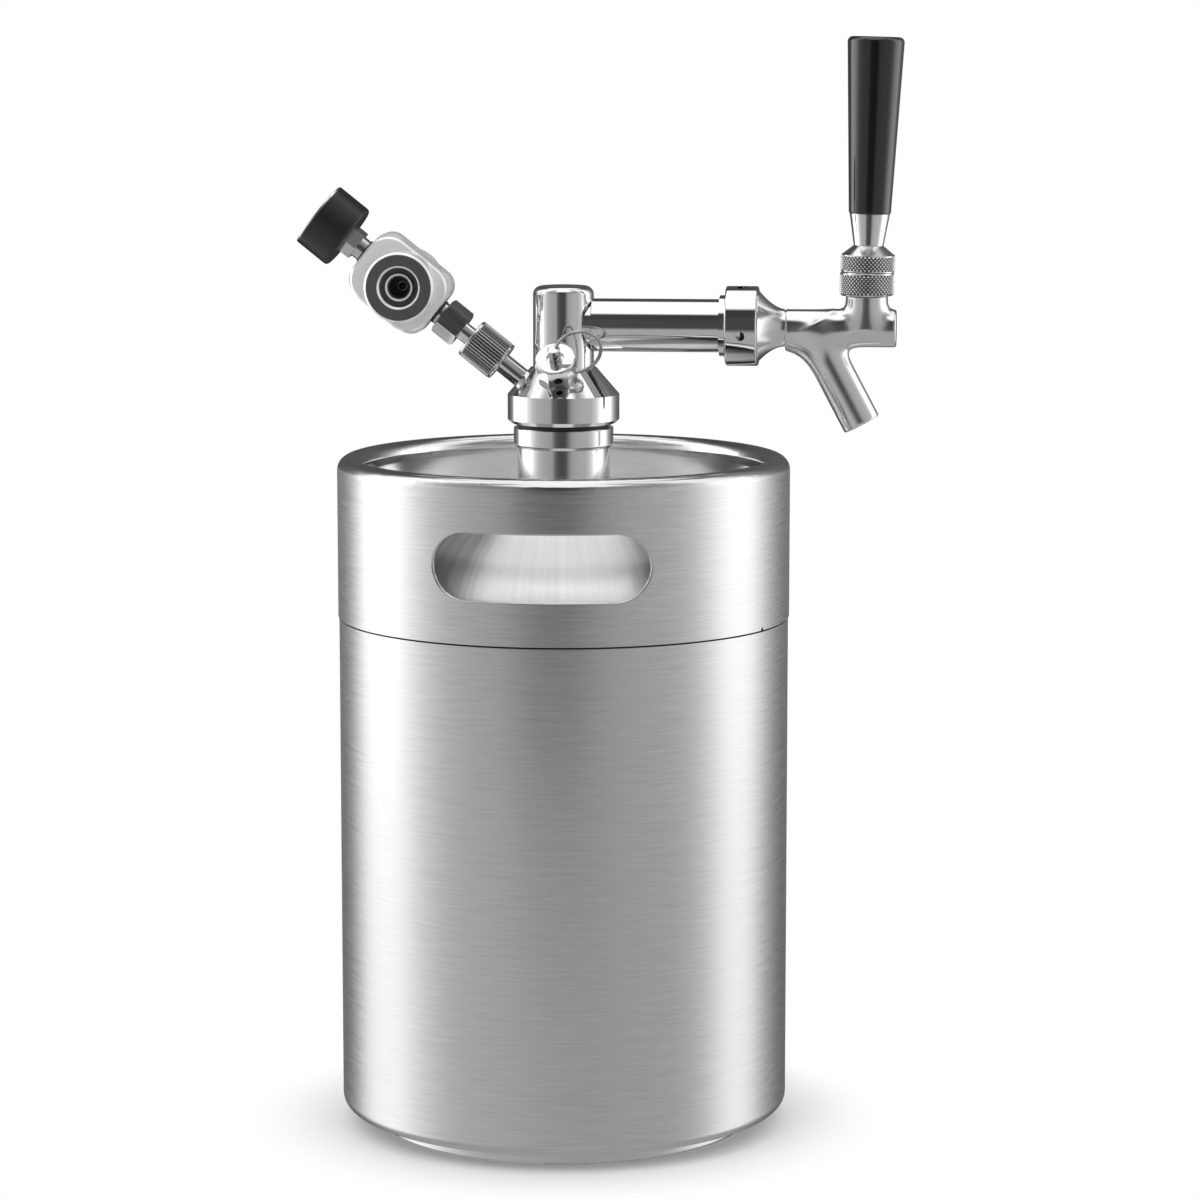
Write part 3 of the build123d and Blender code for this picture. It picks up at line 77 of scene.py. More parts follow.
def makeCamera(spec):
    around, down, aside = (radians(spec[k]) for k in ("around", "down", "aside"))
    towards = Vector((-sin(around), cos(around), 0))
    right = Vector((cos(around), sin(around), 0))
    level = towards * cos(aside) + right * sin(aside)
    side = right * cos(aside) - towards * sin(aside)
    up = level * sin(down) + Vector((0, 0, cos(down)))
    forward = level * cos(down) - Vector((0, 0, sin(down)))
    data = bpy.data.cameras.new("studioCamera")
    data.lens = spec["lens"]
    data.sensor_width = 36
    eye = bpy.data.objects.new("studioCamera", data)
    turn = Matrix((side, up, -forward)).transposed().to_4x4()
    eye.matrix_world = Matrix.Translation(-towards * spec["distance"] + Vector((0, 0, spec["height"]))) @ turn
    scene.collection.objects.link(eye)
    scene.camera = eye


makeCamera(camera)
print("camera is set")


def addNode(tree, kind, inputs=None, **settings):
    made = tree.nodes.new(kind)
    for key, value in settings.items():
        setattr(made, key, value)
    for key, value in (inputs or {}).items():
        if isinstance(value, bpy.types.NodeSocket):
            tree.links.new(value, made.inputs[key])
        else:
            made.inputs[key].default_value = value
    return made


def sums(tree, operation, *values):
    return addNode(tree, "ShaderNodeMath", dict(enumerate(values)), operation=operation).outputs[0]


def mapRange(tree, value, low, high, toLow, toHigh, smooth=False):
    inputs = {"Value": value, "From Min": low, "From Max": high, "To Min": toLow, "To Max": toHigh}
    kind = "SMOOTHSTEP" if smooth else "LINEAR"
    return addNode(tree, "ShaderNodeMapRange", inputs, interpolation_type=kind).outputs[0]


def ramp(tree, factor, stops):
    made = addNode(tree, "ShaderNodeValToRGB", {"Fac": factor})
    band = made.color_ramp.elements
    while len(band) < len(stops):
        band.new(0.5)
    for element, (place, value) in zip(band, stops):
        element.position = place
        element.color = (value, value, value, 1)
    return made.outputs["Color"]


def raysThatSee(tree):
    # One for rays that show the background: straight, through glass or off metal
    rays = addNode(tree, "ShaderNodeLightPath").outputs
    straight = sums(tree, "MAXIMUM", rays["Is Camera Ray"], rays["Is Transmission Ray"])
    return sums(tree, "MAXIMUM", straight, rays["Is Glossy Ray"])


def newMaterial(name, base, roughness, metallic=0.0, **more):
    material = bpy.data.materials.new(name)
    material.use_nodes = True
    tree = material.node_tree
    shader = tree.nodes["Principled BSDF"]
    shader.inputs["Base Color"].default_value = (*base, 1)
    shader.inputs["Roughness"].default_value = roughness
    shader.inputs["Metallic"].default_value = metallic
    for key, value in more.items():
        shader.inputs[key].default_value = value
    return material, tree, shader


# What bright and dark cards stand round the object: degrees to the right of the camera,
# and how bright the card there is. The low cards are what the keg's wall sees.
studio = {
    "tentRadius": 3.0,
    "tentHeight": 0.3,
    "facing": 6.0,  # degrees, the same as the camera's
    "full": 4.0,  # brightness that the ramp's 1 stands for
    "cards": [
        (-180, 0.1), (-160, 0.1), (-142, 0.14), (-130, 0.35), (-121, 1.7), (-116, 2.05), (-92, 2.05),
        (-86, 1.45), (-78, 0.95), (-66, 0.6), (-54, 0.48), (-40, 0.43), (-27, 0.4), (-22, 0.14), (-10, 0.07),
        (6, 0.07), (12, 0.24), (20, 0.4), (40, 0.48), (58, 0.5), (70, 0.72), (78, 1.1), (86, 1.75),
        (110, 1.75), (118, 0.85), (128, 0.38), (142, 0.16), (160, 0.12), (180, 0.1),
    ],
    "lowCards": [
        (-180, 0.05), (-150, 0.06), (-136, 0.12), (-127, 0.6), (-118, 1.35), (-92, 1.45), (-84, 1.1),
        (-76, 0.8), (-64, 0.58), (-50, 0.5), (-27, 0.5), (-10, 0.44), (6, 0.42), (20, 0.42), (40, 0.43),
        (62, 0.43), (74, 0.55), (84, 0.95), (90, 1.35), (108, 1.35), (116, 0.65), (128, 0.28), (142, 0.1),
        (180, 0.05),
    ],
    "lowFrom": (-5, -18),  # degrees above the horizon
    "overhead": 1.3,
    "overheadFrom": (48, 58),
    "overheadWide": (36, 62),  # degrees to each side of front and back
    "zenithFrom": (70, 78),
    "sidesDim": 0.7,  # how dark the sides get above the cards
    "sidesDimFrom": (20, 36),
    "below": 0.42,
    "belowFrom": (-30, -48),
}


def makeTent(spec):
    mesh = bpy.data.meshes.new("lightTent")
    form = bmesh.new()
    bmesh.ops.create_uvsphere(form, u_segments=64, v_segments=32, radius=spec["tentRadius"])
    bmesh.ops.reverse_faces(form, faces=form.faces[:])
    form.to_mesh(mesh)
    tent = bpy.data.objects.new("lightTent", mesh)
    tent.location = (0, 0, spec["tentHeight"])
    scene.collection.objects.link(tent)
    material = bpy.data.materials.new("tentCloth")
    material.use_nodes = True
    tree = material.node_tree
    tree.nodes.clear()
    place = addNode(tree, "ShaderNodeTexCoord").outputs["Object"]
    facing = {"Vector": place, "Angle": -radians(spec["facing"])}
    turned = addNode(tree, "ShaderNodeVectorRotate", facing, rotation_type="Z_AXIS").outputs[0]
    x, y, z = addNode(tree, "ShaderNodeSeparateXYZ", {0: turned}).outputs
    around = sums(tree, "ARCTAN2", x, sums(tree, "MULTIPLY", y, -1.0))
    share = mapRange(tree, around, -pi, pi, 0.0, 1.0)
    height = sums(tree, "ARCSINE", sums(tree, "DIVIDE", z, spec["tentRadius"]))

    def band(name):
        stops = [((angle + 180) / 360, value / spec["full"]) for angle, value in spec[name]]
        return sums(tree, "MULTIPLY", ramp(tree, share, stops), spec["full"])

    def between(name, value=height):
        low, high = (radians(v) for v in spec[name])
        return mapRange(tree, value, low, high, 0.0, 1.0, smooth=True)

    def mix(factor, first, second):
        return addNode(tree, "ShaderNodeMix", {0: factor, 2: first, 3: second}).outputs[0]

    sides = mix(between("lowFrom"), band("cards"), band("lowCards"))
    sides = sums(tree, "MULTIPLY", sides, mix(between("sidesDimFrom"), 1.0, spec["sidesDim"]))
    aside = sums(tree, "ABSOLUTE", around)
    aside = between("overheadWide", sums(tree, "MINIMUM", aside, sums(tree, "SUBTRACT", pi, aside)))
    above = sums(tree, "MULTIPLY", between("overheadFrom"), sums(tree, "SUBTRACT", 1.0, aside))
    above = sums(tree, "MAXIMUM", above, between("zenithFrom"))
    level = mix(above, sides, spec["overhead"])
    level = mix(between("belowFrom"), level, spec["below"])
    glow = addNode(tree, "ShaderNodeEmission", {"Strength": level})
    addNode(tree, "ShaderNodeOutputMaterial", {"Surface": glow.outputs[0]})
    material.cycles.emission_sampling = "NONE"
    mesh.materials.append(material)
    tent.visible_camera = False
    tent.visible_shadow = False
    tent.visible_diffuse = False


backdrop = {"light": 0.93, "seen": 1.0}


def makeWorld(spec):
    world = bpy.data.worlds.new("studio")
    world.use_nodes = True
    tree = world.node_tree
    strength = mapRange(tree, raysThatSee(tree), 0.0, 1.0, spec["light"], spec["seen"])
    tree.links.new(strength, tree.nodes["Background"].inputs["Strength"])
    tree.nodes["Background"].inputs["Color"].default_value = (1, 1, 1, 1)
    world.cycles_visibility.glossy = False  # metal sees the tent and its cards instead
    scene.world = world


floor = {
    "size": 8.0,  # metres
    "level": 0.97,
    "spread": 0.01,
    "patches": 3.0,  # in a metre
    "roughness": 0.9, "specular": 0.2,
    "plain": (0.085, 0.125),  # metres from the middle where the floor turns to the backdrop's white
}


def makeFloor(spec):
    half = spec["size"] / 2
    mesh = bpy.data.meshes.new("floor")
    corners = [(-half, -half, 0), (half, -half, 0), (half, half, 0), (-half, half, 0)]
    mesh.from_pydata(corners, [], [(0, 1, 2, 3)])
    ground = bpy.data.objects.new("floor", mesh)
    scene.collection.objects.link(ground)
    low, high = spec["level"] - spec["spread"], spec["level"] + spec["spread"]
    more = {"Specular IOR Level": spec["specular"]}
    material, tree, shader = newMaterial("paleFloor", [spec["level"]] * 3, spec["roughness"], **more)
    place = addNode(tree, "ShaderNodeTexCoord").outputs["Object"]
    patches = addNode(tree, "ShaderNodeTexNoise", {"Vector": place, "Scale": spec["patches"]}).outputs[0]
    tree.links.new(mapRange(tree, patches, 0.0, 1.0, low, high), shader.inputs["Base Color"])
    # Away from the foot the floor is the backdrop's own white, so that no horizon shows
    far = addNode(tree, "ShaderNodeVectorMath", {0: place}, operation="LENGTH").outputs["Value"]
    away = mapRange(tree, far, *spec["plain"], 0.0, 1.0, smooth=True)
    white = addNode(tree, "ShaderNodeEmission", {"Strength": 1.0}).outputs[0]
    share = sums(tree, "MULTIPLY", raysThatSee(tree), away)
    both = addNode(tree, "ShaderNodeMixShader", {0: share, 1: shader.outputs[0], 2: white})
    tree.links.new(both.outputs[0], tree.nodes["Material Output"].inputs["Surface"])
    mesh.materials.append(material)
    ground.visible_glossy = False


lamps = {  # places and sizes in metres
    "key": {"at": (-1.1, -1.5, 1.9), "size": 1.4, "watts": 9.0},
    "fill": {"at": (1.5, -1.2, 1.3), "size": 1.6, "watts": 5.0},
}
lampAim = (0, 0, 0.25)


def makeLamps(spec):
    for name, lamp in spec.items():
        data = bpy.data.lights.new(name, "AREA")
        data.size = lamp["size"]
        data.energy = lamp["watts"]
        made = bpy.data.objects.new(name, data)
        made.location = lamp["at"]
        aim = Vector(lampAim) - Vector(lamp["at"])
        made.rotation_euler = aim.to_track_quat("-Z", "Y").to_euler()
        made.visible_camera = False
        made.visible_glossy = False
        scene.collection.objects.link(made)


makeTent(studio)
makeWorld(backdrop)
makeFloor(floor)
makeLamps(lamps)
print("studio is lit")


def lineAt(origin, along, aside):
    # A frame at an origin in millimetres, with its z along an axis
    z = Vector(along).normalized()
    x = Vector(aside)
    x = (x - z * z.dot(x)).normalized()
    turn = Matrix((x, z.cross(x), z)).transposed().to_4x4()
    return Matrix.Translation(Vector(origin) * mm) @ turn


# Where things turn, from the same origins as in the CAD, in millimetres
armHeight = 307.1
gasSlope = radians(38.6)
gasWay = Vector((-cos(gasSlope), 0, sin(gasSlope)))
gasAside = (sin(gasSlope), 0, cos(gasSlope))
gasFoot = Vector((0, 0, 273.9))
portPlace = 77.0  # along the gas line
leverBall = (114.5, 0, 320.4)
leverLean = radians(1.6)
reliefTurn = radians(3)  # to the left of straight in front
reliefSlope = radians(45)
reliefRadius, reliefHeight = 13.7, 289.6
kegLine = lineAt((0, 0, 0), (0, 0, 1), (1, 0, 0))
armLine = lineAt((0, 0, armHeight), (1, 0, 0), (0, 0, 1))
gasLine = lineAt(gasFoot, gasWay, gasAside)
portLine = lineAt(gasFoot + gasWay * portPlace, (0, -1, 0), gasAside)
stemLine = lineAt(leverBall, (0, 0, 1), (1, 0, 0))
leverLine = lineAt(leverBall, (sin(leverLean), 0, cos(leverLean)), (1, 0, 0))
reliefOut = Vector((-sin(reliefTurn), -cos(reliefTurn), 0))
reliefFoot = reliefOut * reliefRadius + Vector((0, 0, reliefHeight))
reliefWay = reliefOut * cos(reliefSlope) + Vector((0, 0, sin(reliefSlope)))
reliefLine = lineAt(reliefFoot, reliefWay, (cos(reliefTurn), -sin(reliefTurn), 0))


def newGroup(name, takes, gives):
    group = bpy.data.node_groups.new(name, "ShaderNodeTree")
    for label, kind, value in takes:
        socket = group.interface.new_socket(label, in_out="INPUT", socket_type=kind)
        if value is not None:
            socket.default_value = value
    for label, kind in gives:
        group.interface.new_socket(label, in_out="OUTPUT", socket_type=kind)
    inside = group.nodes.new("NodeGroupInput")
    outside = group.nodes.new("NodeGroupOutput")
    return group, inside.outputs, outside.inputs


def makeBrushLines():
    takes = [
        ("Vector", "NodeSocketVector", None),
        ("Across", "NodeSocketFloat", 1800.0),  # lines in a metre
        ("Along", "NodeSocketFloat", 25.0),
    ]
    gives = [("Mask", "NodeSocketFloat"), ("Height", "NodeSocketFloat")]
    group, into, out = newGroup("brushLines", takes, gives)
    x, y, z = addNode(group, "ShaderNodeSeparateXYZ", {0: into["Vector"]}).outputs

    def layer(across, along, detail):
        parts = {
            0: sums(group, "MULTIPLY", x, sums(group, "MULTIPLY", into["Along"], along)),
            1: sums(group, "MULTIPLY", y, sums(group, "MULTIPLY", into["Along"], along)),
            2: sums(group, "MULTIPLY", z, sums(group, "MULTIPLY", into["Across"], across)),
        }
        stretched = addNode(group, "ShaderNodeCombineXYZ", parts).outputs[0]
        inputs = {"Vector": stretched, "Scale": 1.0, "Detail": detail}
        return addNode(group, "ShaderNodeTexNoise", inputs).outputs[0]

    fine = layer(1.0, 1.0, 3.0)
    broad = layer(0.3, 0.45, 2.0)
    both = sums(group, "ADD", sums(group, "MULTIPLY", fine, 0.8), sums(group, "MULTIPLY", broad, 0.2))
    group.links.new(sums(group, "SUBTRACT", both, 0.5), out["Mask"])
    group.links.new(both, out["Height"])
    return group


def makeSmudges():
    takes = [
        ("Vector", "NodeSocketVector", None),
        ("Scale", "NodeSocketFloat", 60.0),
        ("Low", "NodeSocketFloat", 0.03),
        ("High", "NodeSocketFloat", 0.09),
    ]
    group, into, out = newGroup("smudges", takes, [("Value", "NodeSocketFloat")])
    inputs = {"Vector": into["Vector"], "Scale": into["Scale"], "Detail": 5.0, "Roughness": 0.62}
    cloud = addNode(group, "ShaderNodeTexNoise", inputs).outputs[0]
    group.links.new(mapRange(group, cloud, 0.3, 0.7, into["Low"], into["High"]), out["Value"])
    return group


def makeGrain():
    takes = [("Vector", "NodeSocketVector", None), ("Scale", "NodeSocketFloat", 3000.0)]
    group, into, out = newGroup("fineGrain", takes, [("Height", "NodeSocketFloat")])
    inputs = {"Vector": into["Vector"], "Scale": into["Scale"], "Detail": 2.0}
    group.links.new(addNode(group, "ShaderNodeTexNoise", inputs).outputs[0], out["Height"])
    return group


def makeFromAxis():
    # Where a point lies round the z of the coordinates that it is given
    gives = [("Radius", "NodeSocketFloat"), ("Angle", "NodeSocketFloat"), ("Height", "NodeSocketFloat")]
    group, into, out = newGroup("fromAxis", [("Vector", "NodeSocketVector", None)], gives)
    x, y, z = addNode(group, "ShaderNodeSeparateXYZ", {0: into["Vector"]}).outputs
    squares = sums(group, "ADD", sums(group, "MULTIPLY", x, x), sums(group, "MULTIPLY", y, y))
    group.links.new(sums(group, "SQRT", squares), out["Radius"])
    group.links.new(sums(group, "ARCTAN2", x, sums(group, "MULTIPLY", y, -1.0)), out["Angle"])
    group.links.new(z, out["Height"])
    return group


brushLines = makeBrushLines()
smudges = makeSmudges()
grain = makeGrain()
fromAxis = makeFromAxis()


def objectPlace(tree, line=None):
    # Object coordinates, or those of a line's own frame
    here = addNode(tree, "ShaderNodeTexCoord").outputs["Object"]
    if line is None:
        return here
    inputs = {"Vector": here, "Location": tuple(line.translation), "Rotation": tuple(line.to_euler())}
    return addNode(tree, "ShaderNodeMapping", inputs, vector_type="TEXTURE").outputs[0]


def useGroup(tree, group, **inputs):
    made = tree.nodes.new("ShaderNodeGroup")
    made.node_tree = group
    for key, value in inputs.items():
        if isinstance(value, bpy.types.NodeSocket):
            tree.links.new(value, made.inputs[key])
        else:
            made.inputs[key].default_value = value
    return made.outputs


def tint(tree, base, mask):
    level = sums(tree, "ADD", 1.0, mask)
    return addNode(tree, "ShaderNodeVectorMath", {0: base, "Scale": level}, operation="SCALE").outputs[0]


def smudged(tree, scale, low, high, where=None):
    where = where or objectPlace(tree)
    return useGroup(tree, smudges, Vector=where, Scale=scale, Low=low, High=high)["Value"]


def mixColours(tree, factor, first, second):
    inputs = {"Factor": factor, "A": first, "B": second}
    return addNode(tree, "ShaderNodeMix", inputs, data_type="VECTOR").outputs["Result"]


def addBump(tree, shader, height, strength, distance, **inputs):
    inputs = {"Height": height, "Strength": strength, "Distance": distance, **inputs}
    tree.links.new(addNode(tree, "ShaderNodeBump", inputs).outputs[0], shader.inputs["Normal"])


def addTaper(tree, shader, depth, **inputs):
    # Shades a wall as if it narrowed upwards
    height = useGroup(tree, fromAxis, Vector=objectPlace(tree))["Height"]
    addBump(tree, shader, sums(tree, "MULTIPLY", height, -1.0), 1.0, depth, **inputs)


def brushedMetal(name, spec, line=None):
    # Lines run across the frame's z
    more = {"Anisotropic": spec["anisotropic"]}
    material, tree, shader = newMaterial(name, spec["base"], spec["roughness"], 1.0, **more)
    where = objectPlace(tree, line)
    lines = useGroup(tree, brushLines, Vector=where, Across=spec["across"], Along=spec["along"])
    shade = sums(tree, "MULTIPLY", lines["Mask"], spec["colourDepth"])
    tree.links.new(tint(tree, spec["base"], shade), shader.inputs["Base Color"])
    rough = sums(tree, "ADD", spec["roughness"], sums(tree, "MULTIPLY", lines["Mask"], spec["roughDepth"]))
    tree.links.new(rough, shader.inputs["Roughness"])
    addBump(tree, shader, lines["Height"], spec["bumpDepth"], spec["bumpHeight"])
    return material, tree, shader


def roundAxis(tree, shader):
    tangent = addNode(tree, "ShaderNodeTangent", direction_type="RADIAL", axis="Z").outputs[0]
    tree.links.new(tangent, shader.inputs["Tangent"])


def polishedMetal(name, base, roughness, spread=0.03, scale=60.0):
    material, tree, shader = newMaterial(name, base, roughness, 1.0)
    tree.links.new(smudged(tree, scale, roughness, roughness + spread), shader.inputs["Roughness"])
    return material


def plainFinish(name, base, roughness, spread, scale, depth, height, metallic=0.0, **more):
    material, tree, shader = newMaterial(name, base, roughness, metallic, **more)
    where = objectPlace(tree)
    rough = smudged(tree, scale, roughness - spread, roughness + spread, where)
    tree.links.new(rough, shader.inputs["Roughness"])
    fine = useGroup(tree, grain, Vector=where, Scale=scale * 25)["Height"]
    addBump(tree, shader, fine, depth, height)
    shade = smudged(tree, scale * 0.7, -0.04, 0.04, where)
    tree.links.new(tint(tree, base, shade), shader.inputs["Base Color"])
    return material


kegBrushed = {
    "base": (0.70, 0.70, 0.695), "roughness": 0.25, "anisotropic": 0.7,
    "across": 2300.0, "along": 75.0,  # lines in a metre
    "colourDepth": 0.34, "roughDepth": 0.08, "bumpDepth": 0.16, "bumpHeight": 0.00003,
}
# Painted shade: the groove where the shell meets the handle ring is painted near black, as it lies in shadow
kegJointShade = {"from": 196.03, "to": 196.09, "dark": (0.03, 0.03, 0.03)}  # heights in millimetres


def kegFinish():
    material, tree, shader = brushedMetal("kegSteel", kegBrushed)
    roundAxis(tree, shader)
    # Painted shade: the groove under the handle ring lies in shadow, so its colour is painted near black
    height = useGroup(tree, fromAxis, Vector=objectPlace(tree))["Height"]
    joint = mapRange(tree, height, kegJointShade["from"] * mm, kegJointShade["to"] * mm, 0.0, 1.0)
    colour = shader.inputs["Base Color"].links[0].from_socket
    tree.links.new(mixColours(tree, joint, colour, kegJointShade["dark"]), shader.inputs["Base Color"])
    return material


ringSmooth = {"from": 85.55, "to": 85.92, "roughness": 0.13}  # millimetres from the keg's axis


def ringFinish():
    # Brushed outside like the keg, smoother on the rolled rim, the slots' edges and inside
    material, tree, shader = brushedMetal("ringSteel", kegBrushed)
    roundAxis(tree, shader)
    radius = useGroup(tree, fromAxis, Vector=objectPlace(tree))["Radius"]
    brushed = mapRange(tree, radius, ringSmooth["from"] * mm, ringSmooth["to"] * mm, 0.0, 1.0, smooth=True)
    rough = shader.inputs["Roughness"].links[0].from_socket
    level = addNode(tree, "ShaderNodeMix", {0: brushed, 2: ringSmooth["roughness"], 3: rough}).outputs[0]
    tree.links.new(level, shader.inputs["Roughness"])
    bump = shader.inputs["Normal"].links[0].from_node
    height = bump.inputs["Height"].links[0].from_socket
    tree.links.new(sums(tree, "MULTIPLY", height, brushed), bump.inputs["Height"])
    return material


domeSpun = {
    "base": (0.90, 0.90, 0.895), "roughness": 0.34, "metallic": 0.3,
    # Painted sheen: the dome's colour is lighter in sectors round the neck and painted darker between them
    "sheenFans": 4, "turn": radians(5),
    "bright": radians(17), "dark": radians(30), "sheenDepth": -0.62,  # angles from the middle of a fan
    "arc": 0.06,  # metres of streaks in a radian
    "across": 420.0, "along": 14.0,
    "colourDepth": 0.5, "roughDepth": 0.2, "bumpDepth": 0.2, "bumpHeight": 0.0001,
}


def domeFinish(spec):
    # Spun dome with a painted sheen: the colour stays light in sectors that run out from the neck and is
    # painted darker between them, with fine streaks
    material, tree, shader = newMaterial("domeSteel", spec["base"], spec["roughness"], spec["metallic"])
    spot = useGroup(tree, fromAxis, Vector=objectPlace(tree))
    sweep = sums(tree, "MULTIPLY", spot["Angle"], spec["arc"])
    place = addNode(tree, "ShaderNodeCombineXYZ", {0: spot["Radius"], 1: 0.0, 2: sweep}).outputs[0]
    lines = useGroup(tree, brushLines, Vector=place, Across=spec["across"], Along=spec["along"])
    # Painted sheen: full colour near the middle of each sector, painted darker towards the gaps between them
    half = pi / spec["sheenFans"]
    nearest = sums(tree, "WRAP", sums(tree, "SUBTRACT", spot["Angle"], spec["turn"]), half, -half)
    away = sums(tree, "ABSOLUTE", nearest)
    shade = mapRange(tree, away, spec["bright"], spec["dark"], 0.0, spec["sheenDepth"], smooth=True)
    shade = sums(tree, "ADD", shade, sums(tree, "MULTIPLY", lines["Mask"], spec["colourDepth"]))
    tree.links.new(tint(tree, spec["base"], shade), shader.inputs["Base Color"])
    rough = sums(tree, "ADD", spec["roughness"], sums(tree, "MULTIPLY", lines["Mask"], spec["roughDepth"]))
    tree.links.new(rough, shader.inputs["Roughness"])
    addBump(tree, shader, lines["Height"], spec["bumpDepth"], spec["bumpHeight"])
    return material


neckTurned = {
    "base": (0.76, 0.76, 0.755), "roughness": 0.15, "anisotropic": 0.3,
    "across": 2600.0, "along": 30.0,
    "colourDepth": 0.12, "roughDepth": 0.06, "bumpDepth": 0.15, "bumpHeight": 0.00001,
    "taper": 0.14,
}


def neckFinish():
    # Finely turned, with the slight taper of a drawn neck
    material, tree, shader = brushedMetal("neckSteel", neckTurned)
    roundAxis(tree, shader)
    addTaper(tree, shader, neckTurned["taper"], Normal=shader.inputs["Normal"].links[0].from_socket)
    return material


nutMilled = {
    "base": (0.66, 0.66, 0.66), "roughness": 0.12, "anisotropic": 0.2,
    "across": 2200.0, "along": 60.0,
    "colourDepth": 1.3, "roughDepth": 0.1, "bumpDepth": 0.5, "bumpHeight": 0.00004,
}


def nutFinish():
    # Milled flats with streaks along the gas stem
    return brushedMetal("nutSteel", nutMilled, lineAt((0, 0, 0), (-gasWay[2], 0, gasWay[0]), gasWay))[0]


portFace = {  # heights and radii in the port's own frame, in millimetres
    "base": (0.90, 0.905, 0.91), "dark": (0.10, 0.10, 0.105), "metallic": 0.55,
    "rough": (0.28, 0.38),
    "grain": 3200.0,
    "face": 19.7,  # the boss is dark from here up
    "step": 16.0, "stepWithin": 0.1, "stepRadius": 7.95,  # and at this height inside this radius
}


def regulatorFinish(spec):
    # Blasted block, with a darker face on the boss and at the bottom of its counterbore
    material, tree, shader = newMaterial("blastedBlock", spec["base"], spec["rough"][0], spec["metallic"])
    where = objectPlace(tree)
    spot = useGroup(tree, fromAxis, Vector=objectPlace(tree, portLine))
    face = sums(tree, "GREATER_THAN", spot["Height"], spec["face"] * mm)
    step = sums(tree, "COMPARE", spot["Height"], spec["step"] * mm, spec["stepWithin"] * mm)
    inside = sums(tree, "MULTIPLY", step, sums(tree, "LESS_THAN", spot["Radius"], spec["stepRadius"] * mm))
    colour = mixColours(tree, sums(tree, "MAXIMUM", face, inside), spec["base"], spec["dark"])
    shade = smudged(tree, 90.0, -0.05, 0.05, where)
    tree.links.new(tint(tree, colour, shade), shader.inputs["Base Color"])
    tree.links.new(smudged(tree, 120.0, *spec["rough"], where), shader.inputs["Roughness"])
    fine = useGroup(tree, grain, Vector=where, Scale=spec["grain"])["Height"]
    addBump(tree, shader, fine, 0.25, 0.00002)
    return material


# The dark colour is painted shade, for the hole and the face round the lip
portLip = {
    "base": (0.82, 0.82, 0.82), "dark": (0.055, 0.055, 0.055), "roughness": 0.22, "metallic": 0.6,
    "radius": 4.8, "half": 0.36,  # of the bright ring, in millimetres
}


def insertFinish(spec):
    # Plated lip round the thread; everything else, the thread in its hole too, is painted near black as
    # painted shade
    material, tree, shader = newMaterial("platedInsert", spec["base"], spec["roughness"], spec["metallic"])
    radius = useGroup(tree, fromAxis, Vector=objectPlace(tree, portLine))["Radius"]
    lip = sums(tree, "COMPARE", radius, spec["radius"] * mm, spec["half"] * mm)
    # Painted shade: all but the lip takes the dark colour
    colour = mixColours(tree, lip, spec["dark"], spec["base"])
    shade = smudged(tree, 90.0, -0.05, 0.05)
    tree.links.new(tint(tree, colour, shade), shader.inputs["Base Color"])
    return material


# rootShade darkens the colour at the knurl's root as painted shade between the teeth
knurled = {"base": (0.80, 0.80, 0.80), "rough": (0.14, 0.19), "rootShade": -0.93, "rootRough": 0.3}


def knurlRoot(name, line, low, high, root):
    # Satin chrome with painted shade in the knurl's valleys: dark between two heights on the line and past
    # the root radius, in millimetres
    base = knurled["base"]
    material, tree, shader = newMaterial(name, base, knurled["rough"][0], 1.0)
    spot = useGroup(tree, fromAxis, Vector=objectPlace(tree, line))
    above = sums(tree, "GREATER_THAN", spot["Height"], low * mm)
    inside = sums(tree, "MULTIPLY", above, sums(tree, "LESS_THAN", spot["Height"], high * mm))
    mask = sums(tree, "MULTIPLY", inside, sums(tree, "GREATER_THAN", spot["Radius"], root * mm))
    shade = sums(tree, "MULTIPLY", mask, knurled["rootShade"])
    tree.links.new(tint(tree, base, shade), shader.inputs["Base Color"])
    rough = sums(tree, "MULTIPLY", mask, knurled["rootRough"])
    rough = sums(tree, "ADD", smudged(tree, 90.0, *knurled["rough"]), rough)
    tree.links.new(rough, shader.inputs["Roughness"])
    return material


def ferruleFinish(base=(0.82, 0.82, 0.82), roughness=0.04, taper=0.17):
    # Polished, with the crown that polishing leaves on a cone
    material, tree, shader = newMaterial("ferruleChrome", base, roughness, 1.0)
    tree.links.new(smudged(tree, 60.0, roughness, roughness + 0.03), shader.inputs["Roughness"])
    addTaper(tree, shader, taper)
    return material


def glassFinish():
    clear = {"Transmission Weight": 1.0, "IOR": 1.49}
    material, tree, shader = newMaterial("clearGlass", (0.97, 0.98, 0.98), 0.01, **clear)
    tree.links.new(smudged(tree, 70.0, 0.0, 0.02), shader.inputs["Roughness"])
    return material


